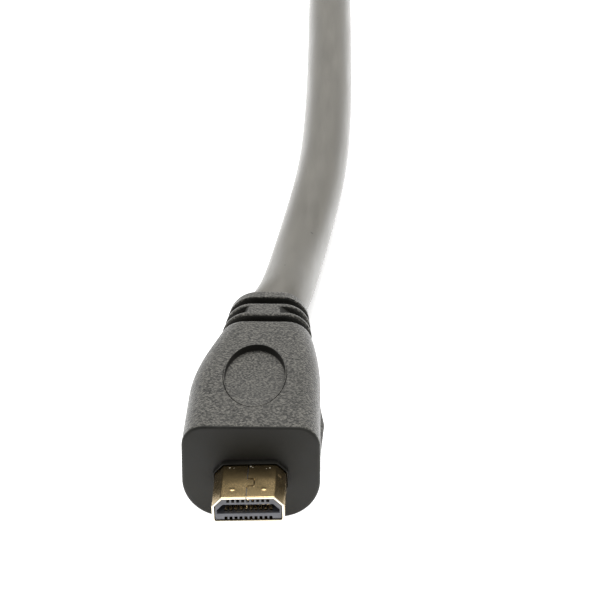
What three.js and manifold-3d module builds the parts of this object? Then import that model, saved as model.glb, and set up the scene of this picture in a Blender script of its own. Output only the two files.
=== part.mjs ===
import * as THREE from 'three';
import { mergeVertices } from 'three/addons/utils/BufferGeometryUtils.js';
import Module from 'manifold-3d';

const wasm = await Module();
wasm.setup();

// Micro HDMI to VGA adapter in millimetres, +Z up, both mouldings resting on Z = 0.
// The plug points along -Y and the VGA socket along +Y. Until the last lines,
// Y is measured from the front face of the plug moulding and X from its middle.

// Plug moulding
const plugWidth = 11.35;
const plugHeight = 8.5;
const plugLength = 19.9;
const plugTopRadius = 1.9;
const plugBottomRadius = 3.4;
const plugFaceRound = 0.3;
const plugSideDraft = 0.032;
const plugShoulderStart = 8;
const plugShoulderPower = 1.1;
const plugNeckWidth = 8.25;
const plugNeckBottom = 0.4;
const plugNeckTop = 8.2;
const plugReliefLength = 7.6;
const plugReliefEndWidth = 7.15;
const plugReliefEndBottom = 1.4;
const plugReliefEndTop = 7.5;
const plugReliefEndRadius = 2.6;
const plugReliefBend = 0.55;
const plugReliefBendStart = 8;
const plugReliefBendEnd = 22;
const plugGroovePitch = 2.2;
const plugGrooveWidth = 1.6;
const plugGrooveDepth = 0.85;
const plugGrooveSideDepth = 0.35;
const plugGrooveCount = 3;
const plugTopBridge = 2;
const plugTopBridgeShift = -0.5;
const plugSideBridge = 0.7;

// Finger recess on top of the plug moulding
const recessCentre = 9.3;
const recessWidth = 5.1;
const recessLength = 11.4;
const recessFrontDepth = 0.1;
const recessBackDepth = 0.75;

// Thin flash at the parting line on the right side
const flashStart = 3;
const flashPeak = 8.4;
const flashEnd = 11.8;
const flashReach = 0.32;
const flashThickness = 0.5;
const flashHeight = 4.15;

// Metal shell of the plug
const shellAxisHeight = 3.95;
const shellTilt = -1.4;
const shellWidth = 5.83;
const shellHeight = 2.2;
const shellChamfer = 0.75;
const shellBottomRadius = 0.35;
const shellLeastRadius = 0.05;
const shellCrease = 0.1;
const shellWall = 0.2;
const shellReach = 5.7;
const shellEmbed = 6;
const shellPocketClearance = 0.03;
const lipThickness = 0.16;
const lipReach = 0.66;
const seamWidth = 0.06;
const seamOffset = -0.12;
const seamJog = 0.56;
const seamJogStart = 1.85;
const seamJogLength = 1.15;
const bumpSpacing = 2.56;
const bumpSetback = 1.33;
const bumpRadius = 0.27;
const bumpHeight = 0.08;

// Plastic insert and contacts of the plug
const insertClearance = 0.03;
const insertSetback = 0.12;
const insertEmbed = 3;
const mouthFloorWidth = 5.02;
const mouthRoofWidth = 4.05;
const mouthTop = 0.4;
const mouthBottom = -0.25;
const mouthDepth = 4.4;
const mouthCrease = 0.06;
const contactPitch = 0.4;
const lowerContactCount = 10;
const upperContactCount = 9;
const slotWidth = 0.25;
const lowerSlotRoof = -0.57;
const upperSlotFloor = 0.62;
const windowStart = 0.4;
const windowEnd = 2.7;
const contactClearance = 0.02;
const contactThickness = 0.1;
const contactSlotGap = 0.05;
const contactTipSetback = 0.5;
const contactCrestSetback = 0.8;
const contactCrestRise = 0.2;
const contactTipDrop = 0.1;
const contactTail = 1.4;

// Cable
const cableDiameter = 5;
const cableSides = 12;
const cableSteps = 15;
const cableGap = 0.3;
const floorGap = 0.02;

// VGA housing
const housingOffset = 4;
const housingRim = 1.6;
const housingHeight = 15.5;
const housingLength = 37;
const housingRadius = 4.2;
const housingFaceRound = 0.8;
const housingSideDraft = 0.01;
const housingShoulderStart = 21;
const housingShoulderPower = 0.8;
const housingNeckWidth = 12.6;
const housingNeckHeight = 10.6;
const housingReliefLength = 13.4;
const housingReliefEndWidth = 8.8;
const housingReliefEndHeight = 8.4;
const housingGroovePitch = 2.5;
const housingGrooveWidth = 1.5;
const housingGrooveDepth = 1.1;
const housingGrooveSideDepth = 0.5;
const housingGrooveCount = 4;
const housingTopBridge = 2.8;
const housingSideBridge = 1.6;

// VGA socket: size E shell of the D-subminiature family
const jackSpacing = 24.99;
const socketWidth = 16.33;
const socketHeight = 7.9;
const socketRadius = 2.4;
const socketLean = 10;
const socketLeanTrim = 0.35;
const socketWall = 0.4;
const socketReach = 5.9;
const flangeEdge = 2.91;
const flangeHeight = 12.55;
const flangeThickness = 0.8;
const flangeRadius = 1.2;
const flangeClearance = 0.1;
const socketInsertClearance = 0.06;
const socketInsertSetback = 0.25;
const socketInsertCollar = 1.2;
const socketInsertDepth = 5.5;
const pinPitch = 2.29;
const pinRowPitch = 1.98;
const pinsPerRow = 5;
const pinRows = 3;
const pinHoleRadius = 0.58;
const pinHoleDepth = 8;
const pinContactRadius = 0.5;
const pinContactBore = 0.34;
const pinContactSetback = 0.45;
const pinContactLength = 6.2;

// Jackscrews of the VGA socket
const jackFlats = 4.75;
const jackReach = 5;
const jackChamfer = 0.35;
const jackChamferLength = 0.42;
const jackBore = 1.2;
const jackBoreDepth = 4.4;
const jackShankRadius = 1.4;
const jackShankLength = 5;
const jackHoleClearance = 0.12;
const jackSeat = 0.05;

// Finishes
const softGrey = new THREE.MeshStandardMaterial({ color: 0x55544f, roughness: 0.75, metalness: 0 });
const cableGrey = new THREE.MeshStandardMaterial({ color: 0x8a867e, roughness: 0.5, metalness: 0 });
const gold = new THREE.MeshStandardMaterial({ color: 0xc9a25a, roughness: 0.25, metalness: 1 });
const contactGold = new THREE.MeshStandardMaterial({ color: 0xd8b060, roughness: 0.2, metalness: 1 });
const insertGrey = new THREE.MeshStandardMaterial({ color: 0x45454c, roughness: 0.5, metalness: 0 });
const nickel = new THREE.MeshStandardMaterial({ color: 0xb9bbbd, roughness: 0.3, metalness: 1 });
const socketBlue = new THREE.MeshStandardMaterial({ color: 0x22407f, roughness: 0.45, metalness: 0 });

// Round shapes are drawn with these numbers of sides
const recessSides = 24;
const bumpSides = 20;
const bumpBands = 12;
const grooveCoreSides = 16;
const pinSides = 12;
const screwHoleSides = 20;
const screwSides = 16;
const screwChamferSides = 24;
const socketCornerSides = 8;

// Booleans
const cutMargin = 1;
const weldDistance = 1e-5;
const degree = Math.PI / 180;

function toSolid(geometry) {
  const bare = geometry.index ? geometry.toNonIndexed() : geometry.clone();
  bare.deleteAttribute('normal');
  bare.deleteAttribute('uv');
  const merged = mergeVertices(bare, weldDistance);
  const vertProperties = new Float32Array(merged.attributes.position.array);
  const triVerts = new Uint32Array(merged.index.array);
  return new wasm.Manifold(new wasm.Mesh({ numProp: 3, vertProperties, triVerts }));
}

function toGeometry(solid) {
  const result = solid.getMesh();
  const geometry = new THREE.BufferGeometry();
  const positions = new Float32Array(result.vertProperties);
  geometry.setAttribute('position', new THREE.BufferAttribute(positions, 3));
  geometry.setIndex(new THREE.BufferAttribute(new Uint32Array(result.triVerts), 1));
  const flat = geometry.toNonIndexed();
  flat.computeVertexNormals();
  return flat;
}

function cut(solid, cutters) {
  return cutters.reduce((left, cutter) => left.subtract(toSolid(cutter)), solid);
}

function namedMesh(name, geometry, material) {
  const mesh = new THREE.Mesh(geometry, material);
  mesh.name = name;
  return mesh;
}

// Outlines and prisms

function roundedOutline(corners, radii) {
  const shape = new THREE.Shape();
  corners.forEach((corner, i) => {
    const before = corners[(i + corners.length - 1) % corners.length];
    const after = corners[(i + 1) % corners.length];
    const into = before.clone().sub(corner).normalize().multiplyScalar(radii[i]).add(corner);
    const out = after.clone().sub(corner).normalize().multiplyScalar(radii[i]).add(corner);
    if (i === 0) {
      shape.moveTo(into.x, into.y);
    } else {
      shape.lineTo(into.x, into.y);
    }
    if (radii[i] > 0) {
      shape.quadraticCurveTo(corner.x, corner.y, out.x, out.y);
    }
  });
  shape.closePath();
  return shape;
}

// A shape drawn in X and Z, standing from the plane Y = front back to Y = back.
function prism(shape, front, back, curveSegments = 4) {
  const settings = { depth: back - front, bevelEnabled: false, curveSegments };
  const geometry = new THREE.ExtrudeGeometry(shape, settings);
  geometry.rotateX(Math.PI / 2);
  geometry.translate(0, back, 0);
  return geometry;
}

// A shape drawn in Y and Z, centred on X = x with the given width along X.
function sidePrism(shape, x, width) {
  const geometry = new THREE.ExtrudeGeometry(shape, { depth: width, bevelEnabled: false });
  const along = new THREE.Vector3(0, 1, 0);
  const up = new THREE.Vector3(0, 0, 1);
  const across = new THREE.Vector3(1, 0, 0);
  geometry.applyMatrix4(new THREE.Matrix4().makeBasis(along, up, across));
  geometry.translate(x - width / 2, 0, 0);
  return geometry;
}

function block(x0, x1, y0, y1, z0, z1) {
  const geometry = new THREE.BoxGeometry(x1 - x0, y1 - y0, z1 - z0);
  geometry.translate((x0 + x1) / 2, (y0 + y1) / 2, (z0 + z1) / 2);
  return geometry;
}

// A round bar along Y.
function bar(radius, x, z, front, back, sides) {
  const geometry = new THREE.CylinderGeometry(radius, radius, back - front, sides);
  geometry.translate(x, (front + back) / 2, z);
  return geometry;
}

// Moulded hoods: a rounded block whose face looks along -Y, with a tapering neck
// and a grooved strain relief behind it.

const cornerSteps = 6;
const edgeSteps = 4;
const roundSteps = 4;
const taperRings = 12;
const reliefRings = 8;
const grooveRunOut = 0.04;

function arcPoints(cx, cz, radius, from) {
  const points = [];
  for (let i = 0; i <= cornerSteps; i += 1) {
    const angle = (from + (90 * i) / cornerSteps) * degree;
    points.push([cx + radius * Math.cos(angle), cz + radius * Math.sin(angle)]);
  }
  return points;
}

function edgePoints(start, end) {
  const points = [];
  for (let i = 1; i < edgeSteps; i += 1) {
    const share = i / edgeSteps;
    const x = THREE.MathUtils.lerp(start[0], end[0], share);
    const z = THREE.MathUtils.lerp(start[1], end[1], share);
    points.push([x, z]);
  }
  return points;
}

// A closed ring round a section, counter-clockwise seen from the front.
function sectionRing(section, y, inset = 0) {
  const half = section.width / 2 - inset;
  const low = section.bottom + inset;
  const high = section.top - inset;
  const top = Math.max(section.topRadius - inset, inset);
  const bottom = Math.max(section.bottomRadius - inset, inset);
  const arcs = [
    arcPoints(half - top, high - top, top, 0),
    arcPoints(top - half, high - top, top, 90),
    arcPoints(bottom - half, low + bottom, bottom, 180),
    arcPoints(half - bottom, low + bottom, bottom, 270),
  ];
  const outline = arcs.flatMap((arc, i) => {
    const next = arcs[(i + 1) % arcs.length];
    return [...arc, ...edgePoints(arc[arc.length - 1], next[0])];
  });
  return outline.map(([x, z]) => new THREE.Vector3(section.centre + x, y, z));
}

function loft(rings) {
  const count = rings[0].length;
  const positions = [];
  const triangle = (a, b, c) => positions.push(...a.toArray(), ...b.toArray(), ...c.toArray());
  for (let r = 1; r < rings.length; r += 1) {
    for (let i = 0; i < count; i += 1) {
      const j = (i + 1) % count;
      triangle(rings[r - 1][i], rings[r][i], rings[r - 1][j]);
      triangle(rings[r - 1][j], rings[r][i], rings[r][j]);
    }
  }
  const middle = (ring) => ring.reduce((sum, p) => sum.add(p), new THREE.Vector3()).divideScalar(count);
  const first = rings[0];
  const last = rings[rings.length - 1];
  const firstMiddle = middle(first);
  const lastMiddle = middle(last);
  for (let i = 0; i < count; i += 1) {
    const j = (i + 1) % count;
    triangle(first[i], first[j], firstMiddle);
    triangle(last[j], last[i], lastMiddle);
  }
  const geometry = new THREE.BufferGeometry();
  geometry.setAttribute('position', new THREE.Float32BufferAttribute(positions, 3));
  return geometry;
}

// The section of a hood at a distance behind its face.
function hoodSection(hood, y) {
  const along = Math.max(0, Math.min(1, (y - hood.shoulderStart) / (hood.length - hood.shoulderStart)));
  const shoulder = 1 - Math.cos(along ** hood.shoulderPower * (Math.PI / 2));
  const relief = Math.max(0, (y - hood.length) / hood.reliefLength);
  const follow = (face, neck, end) => {
    const body = THREE.MathUtils.lerp(face, neck, shoulder);
    return THREE.MathUtils.lerp(body, end, relief);
  };
  const draft = hood.sideDraft * Math.min(y, hood.length);
  return {
    centre: hood.bend * THREE.MathUtils.smoothstep(y, hood.bendStart, hood.bendEnd),
    width: follow(hood.width - draft, hood.neckWidth, hood.endWidth),
    bottom: follow(0, hood.neckBottom, hood.endBottom),
    top: follow(hood.height, hood.neckTop, hood.endTop),
    topRadius: follow(hood.topRadius, hood.neckRadius, hood.endRadius),
    bottomRadius: follow(hood.bottomRadius, hood.neckRadius, hood.endRadius),
  };
}

function hoodRings(hood) {
  const end = hood.length + hood.reliefLength;
  const rings = [];
  for (let i = 0; i <= roundSteps; i += 1) {
    const angle = (i / roundSteps) * (Math.PI / 2);
    const y = hood.faceRound * (1 - Math.cos(angle));
    rings.push(sectionRing(hoodSection(hood, 0), y, hood.faceRound * (1 - Math.sin(angle))));
  }
  for (let i = 0; i <= taperRings; i += 1) {
    const y = THREE.MathUtils.lerp(hood.shoulderStart, hood.length, i / taperRings);
    rings.push(sectionRing(hoodSection(hood, y), y));
  }
  for (let i = 1; i <= reliefRings; i += 1) {
    const y = THREE.MathUtils.lerp(hood.length, end - hood.endRound, i / reliefRings);
    rings.push(sectionRing(hoodSection(hood, y), y));
  }
  for (let i = 1; i <= roundSteps; i += 1) {
    const angle = (i / roundSteps) * (Math.PI / 2);
    const y = end - hood.endRound * (1 - Math.sin(angle));
    rings.push(sectionRing(hoodSection(hood, y), y, hood.endRound * (1 - Math.cos(angle))));
  }
  return rings;
}

// The elliptical core that a groove leaves standing. Grooves with a bridge at the
// sides are cut deepest at top and bottom; the others are cut in from both sides,
// and there the core stands out a little past the top and bottom.
function grooveCore(hood, section, y0, y1, bridgedAtSides) {
  const sideDepth = bridgedAtSides ? hood.grooveSideDepth : hood.grooveDepth;
  const endDepth = bridgedAtSides ? hood.grooveDepth : -grooveRunOut;
  const middle = (section.bottom + section.top) / 2;
  const shape = new THREE.Shape();
  const halfWidth = section.width / 2 - sideDepth;
  const halfHeight = (section.top - section.bottom) / 2 - endDepth;
  shape.absellipse(section.centre, middle, halfWidth, halfHeight, 0, 2 * Math.PI);
  return prism(shape, y0, y1, grooveCoreSides);
}

function grooveCutter(hood, index) {
  const y0 = hood.length + index * hood.groovePitch;
  const y1 = y0 + hood.grooveWidth;
  const section = hoodSection(hood, y0);
  const bridgedAtSides = index % 2 === 0;
  const middle = (section.bottom + section.top) / 2;
  const reach = section.width;
  const slab = block(-reach, reach, y0, y1, section.bottom - cutMargin, section.top + cutMargin);
  const core = grooveCore(hood, section, y0 - cutMargin, y1 + cutMargin, bridgedAtSides);
  const sideHalf = hood.sideBridge / 2;
  const topHalf = hood.topBridge / 2;
  const topCentre = section.centre + hood.topBridgeShift;
  const bridge = bridgedAtSides
    ? block(-reach - cutMargin, reach + cutMargin, y0, y1, middle - sideHalf, middle + sideHalf)
    : block(topCentre - topHalf, topCentre + topHalf, y0, y1, -cutMargin, hood.height + cutMargin);
  return cut(toSolid(slab), [core, bridge]);
}

function hoodSolid(hood) {
  let solid = toSolid(loft(hoodRings(hood)));
  for (let i = 0; i < hood.grooveCount; i += 1) {
    solid = solid.subtract(grooveCutter(hood, i));
  }
  return solid;
}

const plugHood = {
  width: plugWidth,
  height: plugHeight,
  length: plugLength,
  topRadius: plugTopRadius,
  bottomRadius: plugBottomRadius,
  faceRound: plugFaceRound,
  endRound: plugFaceRound,
  sideDraft: plugSideDraft,
  shoulderStart: plugShoulderStart,
  shoulderPower: plugShoulderPower,
  neckWidth: plugNeckWidth,
  neckBottom: plugNeckBottom,
  neckTop: plugNeckTop,
  neckRadius: (plugTopRadius + plugReliefEndRadius) / 2,
  reliefLength: plugReliefLength,
  endWidth: plugReliefEndWidth,
  endBottom: plugReliefEndBottom,
  endTop: plugReliefEndTop,
  endRadius: plugReliefEndRadius,
  bend: plugReliefBend,
  bendStart: plugReliefBendStart,
  bendEnd: plugReliefBendEnd,
  groovePitch: plugGroovePitch,
  grooveWidth: plugGrooveWidth,
  grooveDepth: plugGrooveDepth,
  grooveSideDepth: plugGrooveSideDepth,
  grooveCount: plugGrooveCount,
  topBridge: plugTopBridge,
  topBridgeShift: plugTopBridgeShift,
  sideBridge: plugSideBridge,
};

const flangeWidth = jackSpacing + 2 * flangeEdge;
const housingWidth = flangeWidth + 2 * housingRim;
const housingAxisHeight = housingHeight / 2;
const housingHood = {
  width: housingWidth,
  height: housingHeight,
  length: housingLength,
  topRadius: housingRadius,
  bottomRadius: housingRadius,
  faceRound: housingFaceRound,
  endRound: housingFaceRound / 2,
  sideDraft: housingSideDraft,
  shoulderStart: housingShoulderStart,
  shoulderPower: housingShoulderPower,
  neckWidth: housingNeckWidth,
  neckBottom: housingAxisHeight - housingNeckHeight / 2,
  neckTop: housingAxisHeight + housingNeckHeight / 2,
  neckRadius: housingRadius,
  reliefLength: housingReliefLength,
  endWidth: housingReliefEndWidth,
  endBottom: housingAxisHeight - housingReliefEndHeight / 2,
  endTop: housingAxisHeight + housingReliefEndHeight / 2,
  endRadius: housingReliefEndHeight / 2 - housingFaceRound / 2,
  bend: 0,
  bendStart: housingShoulderStart,
  bendEnd: housingLength,
  groovePitch: housingGroovePitch,
  grooveWidth: housingGrooveWidth,
  grooveDepth: housingGrooveDepth,
  grooveSideDepth: housingGrooveSideDepth,
  grooveCount: housingGrooveCount,
  topBridge: housingTopBridge,
  topBridgeShift: 0,
  sideBridge: housingSideBridge,
};

// Plug shell, its insert and its contacts, drawn round the axis of the shell

function shellOutline(offset) {
  const half = shellWidth / 2 + offset;
  const low = -shellHeight / 2 - offset;
  const high = shellHeight / 2 + offset;
  const chamfer = shellChamfer + offset * (2 - Math.SQRT2);
  const round = Math.max(shellBottomRadius + offset, shellLeastRadius);
  const corners = [
    new THREE.Vector2(-half, low),
    new THREE.Vector2(half, low),
    new THREE.Vector2(half, high - chamfer),
    new THREE.Vector2(half - chamfer, high),
    new THREE.Vector2(chamfer - half, high),
    new THREE.Vector2(-half, high - chamfer),
  ];
  const creases = corners.slice(2).map(() => shellCrease);
  return roundedOutline(corners, [round, round, ...creases]);
}

// The joint where the two ends of the shell's strip meet, with its locking step.
function seamCutter() {
  const half = seamWidth / 2;
  const front = -shellReach - cutMargin;
  const back = shellEmbed + cutMargin;
  const jogFront = seamJogStart - shellReach;
  const jogBack = jogFront + seamJogLength;
  const jogX = seamOffset + seamJog;
  const leftSide = [
    [seamOffset - half, front],
    [seamOffset - half, jogFront + half],
    [jogX - half, jogFront + half],
    [jogX - half, jogBack - half],
    [seamOffset - half, jogBack - half],
    [seamOffset - half, back],
  ];
  const rightSide = [
    [seamOffset + half, back],
    [seamOffset + half, jogBack + half],
    [jogX + half, jogBack + half],
    [jogX + half, jogFront - half],
    [seamOffset + half, jogFront - half],
    [seamOffset + half, front],
  ];
  const outline = [...leftSide, ...rightSide].map(([x, y]) => new THREE.Vector2(x, y));
  const settings = { depth: shellHeight, bevelEnabled: false };
  const geometry = new THREE.ExtrudeGeometry(new THREE.Shape(outline), settings);
  geometry.translate(0, 0, shellHeight / 2 - 2 * shellWall);
  return geometry;
}

// One of the two low round bumps on top of the shell, rooted in half of its wall.
function bumpSolid(x) {
  const sphereRadius = (bumpRadius ** 2 + bumpHeight ** 2) / (2 * bumpHeight);
  const geometry = new THREE.SphereGeometry(sphereRadius, bumpSides, bumpBands);
  const y = bumpSetback - shellReach;
  const top = shellHeight / 2;
  geometry.translate(x, y, top + bumpHeight - sphereRadius);
  const reach = 2 * sphereRadius;
  const root = block(x - reach, x + reach, y - reach, y + reach, top - shellWall / 2, top + reach);
  return toSolid(geometry).intersect(toSolid(root));
}

function plugShell() {
  const cutters = [
    prism(shellOutline(-shellWall), -shellReach - cutMargin, shellEmbed + cutMargin),
    seamCutter(),
  ];
  const tube = cut(toSolid(prism(shellOutline(0), -shellReach, shellEmbed)), cutters);
  return toGeometry(tube.add(bumpSolid(-bumpSpacing / 2)).add(bumpSolid(bumpSpacing / 2)));
}

const insertFront = insertSetback - shellReach;

function mouthOutline() {
  const floorHalf = mouthFloorWidth / 2;
  const roofHalf = mouthRoofWidth / 2;
  const shoulder = mouthTop - (floorHalf - roofHalf);
  const corners = [
    new THREE.Vector2(-floorHalf, mouthBottom),
    new THREE.Vector2(floorHalf, mouthBottom),
    new THREE.Vector2(floorHalf, shoulder),
    new THREE.Vector2(roofHalf, mouthTop),
    new THREE.Vector2(-roofHalf, mouthTop),
    new THREE.Vector2(-floorHalf, shoulder),
  ];
  return roundedOutline(corners, corners.map(() => mouthCrease));
}

function contactPlace(index, count) {
  return (index - (count - 1) / 2) * contactPitch;
}

// One slot along the insert, open to the shell, with a window into the mouth.
function slotCutters(x, slotLevel, outside, mouthLevel) {
  const half = slotWidth / 2;
  const low = Math.min(slotLevel, outside);
  const high = Math.max(slotLevel, outside);
  const windowLow = Math.min(slotLevel, mouthLevel) - half / 2;
  const windowHigh = Math.max(slotLevel, mouthLevel) + half / 2;
  const windowFront = insertFront + windowStart;
  const windowBack = insertFront + windowEnd;
  return [
    block(x - half, x + half, insertFront - cutMargin, insertEmbed + cutMargin, low, high),
    block(x - half, x + half, windowFront, windowBack, windowLow, windowHigh),
  ];
}

function plugInsert() {
  const cutters = [prism(mouthOutline(), insertFront - cutMargin, insertFront + mouthDepth)];
  for (let i = 0; i < lowerContactCount; i += 1) {
    const x = contactPlace(i, lowerContactCount);
    cutters.push(...slotCutters(x, lowerSlotRoof, -shellHeight, mouthBottom));
  }
  for (let i = 0; i < upperContactCount; i += 1) {
    const x = contactPlace(i, upperContactCount);
    cutters.push(...slotCutters(x, upperSlotFloor, shellHeight, mouthTop));
  }
  const body = prism(shellOutline(-shellWall - insertClearance), insertFront, insertEmbed);
  return toGeometry(cut(toSolid(body), cutters));
}

// A sprung strip that lies in its slot and rises into the mouth near its front end.
// side is -1 for the lower row and 1 for the upper row.
function contactStrip(x, slotLevel, mouthLevel, side) {
  const rest = slotLevel + side * (contactSlotGap + contactThickness / 2);
  const crest = mouthLevel - side * contactCrestRise;
  const tip = crest + side * contactTipDrop;
  const half = contactThickness / 2;
  const line = [
    [insertFront + contactTipSetback, tip],
    [insertFront + contactCrestSetback, crest],
    [insertFront + windowEnd - contactThickness, rest],
    [insertEmbed + contactTail, rest],
  ];
  const under = line.map(([y, z]) => new THREE.Vector2(y, z - half));
  const over = line.map(([y, z]) => new THREE.Vector2(y, z + half));
  const shape = new THREE.Shape([...under, ...over.reverse()]);
  return sidePrism(shape, x, slotWidth - 2 * contactClearance);
}

function plugContacts() {
  const meshes = [];
  for (let i = 0; i < lowerContactCount; i += 1) {
    const x = contactPlace(i, lowerContactCount);
    const strip = contactStrip(x, lowerSlotRoof, mouthBottom, -1);
    meshes.push(namedMesh(`contact_lower_${i + 1}`, strip, contactGold));
  }
  for (let i = 0; i < upperContactCount; i += 1) {
    const x = contactPlace(i, upperContactCount);
    const strip = contactStrip(x, upperSlotFloor, mouthTop, 1);
    meshes.push(namedMesh(`contact_upper_${i + 1}`, strip, contactGold));
  }
  return meshes;
}

// Plug moulding with its finger recess, shell pocket, lip on the shell and flash

function flashSolid() {
  const side = plugWidth / 2;
  const shape = new THREE.Shape();
  shape.moveTo(side - cutMargin, flashStart);
  shape.lineTo(side - flashReach / 4, flashStart);
  shape.lineTo(side + flashReach, flashPeak);
  shape.lineTo(side - flashReach, flashEnd);
  shape.lineTo(side - cutMargin, flashEnd);
  const geometry = new THREE.ExtrudeGeometry(shape, { depth: flashThickness, bevelEnabled: false });
  geometry.translate(0, 0, flashHeight - flashThickness / 2);
  return toSolid(geometry);
}

function onShellAxis(geometry) {
  geometry.rotateY(shellTilt * degree);
  geometry.translate(0, 0, shellAxisHeight);
  return geometry;
}

// The oval recess, whose floor falls away towards the back.
function recessCutter() {
  const ellipse = new THREE.Shape();
  const half = recessLength / 2;
  ellipse.absellipse(0, half, recessWidth / 2, half, 0, 2 * Math.PI);
  const settings = { depth: plugHeight, bevelEnabled: false, curveSegments: recessSides };
  const geometry = new THREE.ExtrudeGeometry(ellipse, settings);
  geometry.rotateX(-Math.atan2(recessBackDepth - recessFrontDepth, recessLength));
  geometry.translate(0, recessCentre - half, plugHeight - recessFrontDepth);
  return geometry;
}

function plugOvermould() {
  const lip = onShellAxis(prism(shellOutline(lipThickness), -lipReach, cutMargin));
  const pocketStart = -lipReach - cutMargin;
  const pocketEnd = shellEmbed + shellPocketClearance;
  const pocket = onShellAxis(prism(shellOutline(shellPocketClearance), pocketStart, pocketEnd));
  const solid = hoodSolid(plugHood).add(flashSolid()).add(toSolid(lip));
  return toGeometry(cut(solid, [recessCutter(), pocket]));
}

// Cable, laid along a chosen route: out of the plug's relief, down to the floor,
// along it in a slow curve and up into the housing's relief.

const cableAxis = cableDiameter / 2 + floorGap;
const plugReliefEnd = plugLength + plugReliefLength;
const plugExitHeight = (plugReliefEndBottom + plugReliefEndTop) / 2;
const cableRoute = [
  [plugReliefBend, plugReliefEnd + cableGap, plugExitHeight],
  [0.67, 28.7, plugExitHeight],
  [1.22, 31, 4.3],
  [1.72, 34, 3.92],
  [2.12, 38, 3.38],
  [2.5, 42.5, 2.9],
  [2.9, 47, 2.62],
  [3.38, 52, cableAxis],
  [4.02, 58.7, cableAxis],
  [4.55, 65.5, cableAxis],
  [4.9, 73, cableAxis],
  [5.05, 82, cableAxis],
  [5.06, 92, cableAxis],
  [4.96, 103, cableAxis],
  [4.8, 115, cableAxis],
  [4.6, 127, cableAxis],
  [4.38, 138, cableAxis + 0.06],
  [4.18, 148, 3.05],
  [4.06, 156, 4.15],
  [4, 163, 5.5],
  [4, 169, 6.75],
  [4, 174, 7.5],
  [housingOffset, 178, housingAxisHeight],
];

function cableTube() {
  const curve = new THREE.CatmullRomCurve3(cableRoute.map((p) => new THREE.Vector3(...p)));
  const section = new THREE.Shape();
  for (let i = 0; i < cableSides; i += 1) {
    const angle = (i / cableSides) * 2 * Math.PI;
    const x = (cableDiameter / 2) * Math.cos(angle);
    const y = (cableDiameter / 2) * Math.sin(angle);
    if (i === 0) {
      section.moveTo(x, y);
    } else {
      section.lineTo(x, y);
    }
  }
  const settings = { steps: cableSteps, extrudePath: curve, bevelEnabled: false };
  return new THREE.ExtrudeGeometry(section, settings);
}

// VGA end, drawn with the housing's face at Y = 0 looking along -Y and turned round below

// The D-shaped outline. The trim makes up for the rounding of the two wide corners.
function socketOutline(offset) {
  const half = socketHeight / 2 + offset;
  const lean = Math.tan(socketLean * degree) * half;
  const middleHalf = socketWidth / 2 + offset / Math.cos(socketLean * degree) - socketLeanTrim;
  const corners = [
    new THREE.Vector2(lean - middleHalf, -half),
    new THREE.Vector2(middleHalf - lean, -half),
    new THREE.Vector2(middleHalf + lean, half),
    new THREE.Vector2(-middleHalf - lean, half),
  ];
  return roundedOutline(corners, corners.map(() => socketRadius + offset));
}

function rectangleOutline(width, height, radius) {
  const corners = [
    new THREE.Vector2(-width / 2, -height / 2),
    new THREE.Vector2(width / 2, -height / 2),
    new THREE.Vector2(width / 2, height / 2),
    new THREE.Vector2(-width / 2, height / 2),
  ];
  return roundedOutline(corners, corners.map(() => radius));
}

const jackSides = [['left', -1], ['right', 1]];

function screwHoles(back) {
  const radius = jackShankRadius + jackHoleClearance;
  return jackSides.map(([, side]) => (
    bar(radius, (side * jackSpacing) / 2, 0, -cutMargin, back, screwHoleSides)
  ));
}

function socketShell() {
  const flange = prism(rectangleOutline(flangeWidth, flangeHeight, flangeRadius), 0, flangeThickness);
  const tube = prism(socketOutline(0), -socketReach, flangeThickness / 2, socketCornerSides);
  const front = -socketReach - cutMargin;
  const back = flangeThickness + cutMargin;
  const opening = prism(socketOutline(-socketWall), front, back, socketCornerSides);
  const solid = toSolid(flange).add(toSolid(tube));
  return toGeometry(cut(solid, [opening, ...screwHoles(back)]));
}

const socketInsertFront = socketInsertSetback - socketReach;

// Fifteen pin places in three rows, the middle row half a pitch to one side.
function pinPlaces() {
  const places = [];
  for (let row = 0; row < pinRows; row += 1) {
    const shift = row % 2 === 1 ? pinPitch / 4 : -pinPitch / 4;
    for (let i = 0; i < pinsPerRow; i += 1) {
      const x = (i - (pinsPerRow - 1) / 2) * pinPitch + shift;
      places.push([x, ((pinRows - 1) / 2 - row) * pinRowPitch]);
    }
  }
  return places;
}

function socketInsert() {
  const noseOutline = socketOutline(-socketWall - socketInsertClearance);
  const nose = prism(noseOutline, socketInsertFront, flangeThickness + cutMargin, socketCornerSides);
  const collarStart = flangeThickness + socketInsertClearance;
  const collarEnd = collarStart + socketInsertDepth;
  const collar = prism(socketOutline(socketInsertCollar), collarStart, collarEnd, socketCornerSides);
  const holes = pinPlaces().map(([x, z]) => (
    bar(pinHoleRadius, x, z, socketInsertFront - cutMargin, socketInsertFront + pinHoleDepth, pinSides)
  ));
  return toGeometry(cut(toSolid(nose).add(toSolid(collar)), holes));
}

function socketContact(x, z) {
  const profile = [
    new THREE.Vector2(pinContactBore, 0),
    new THREE.Vector2(pinContactRadius, 0),
    new THREE.Vector2(pinContactRadius, pinContactLength),
    new THREE.Vector2(pinContactBore, pinContactLength),
    new THREE.Vector2(pinContactBore, 0),
  ];
  const geometry = new THREE.LatheGeometry(profile, pinSides);
  geometry.translate(x, socketInsertFront + pinContactSetback, z);
  return geometry;
}

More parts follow.
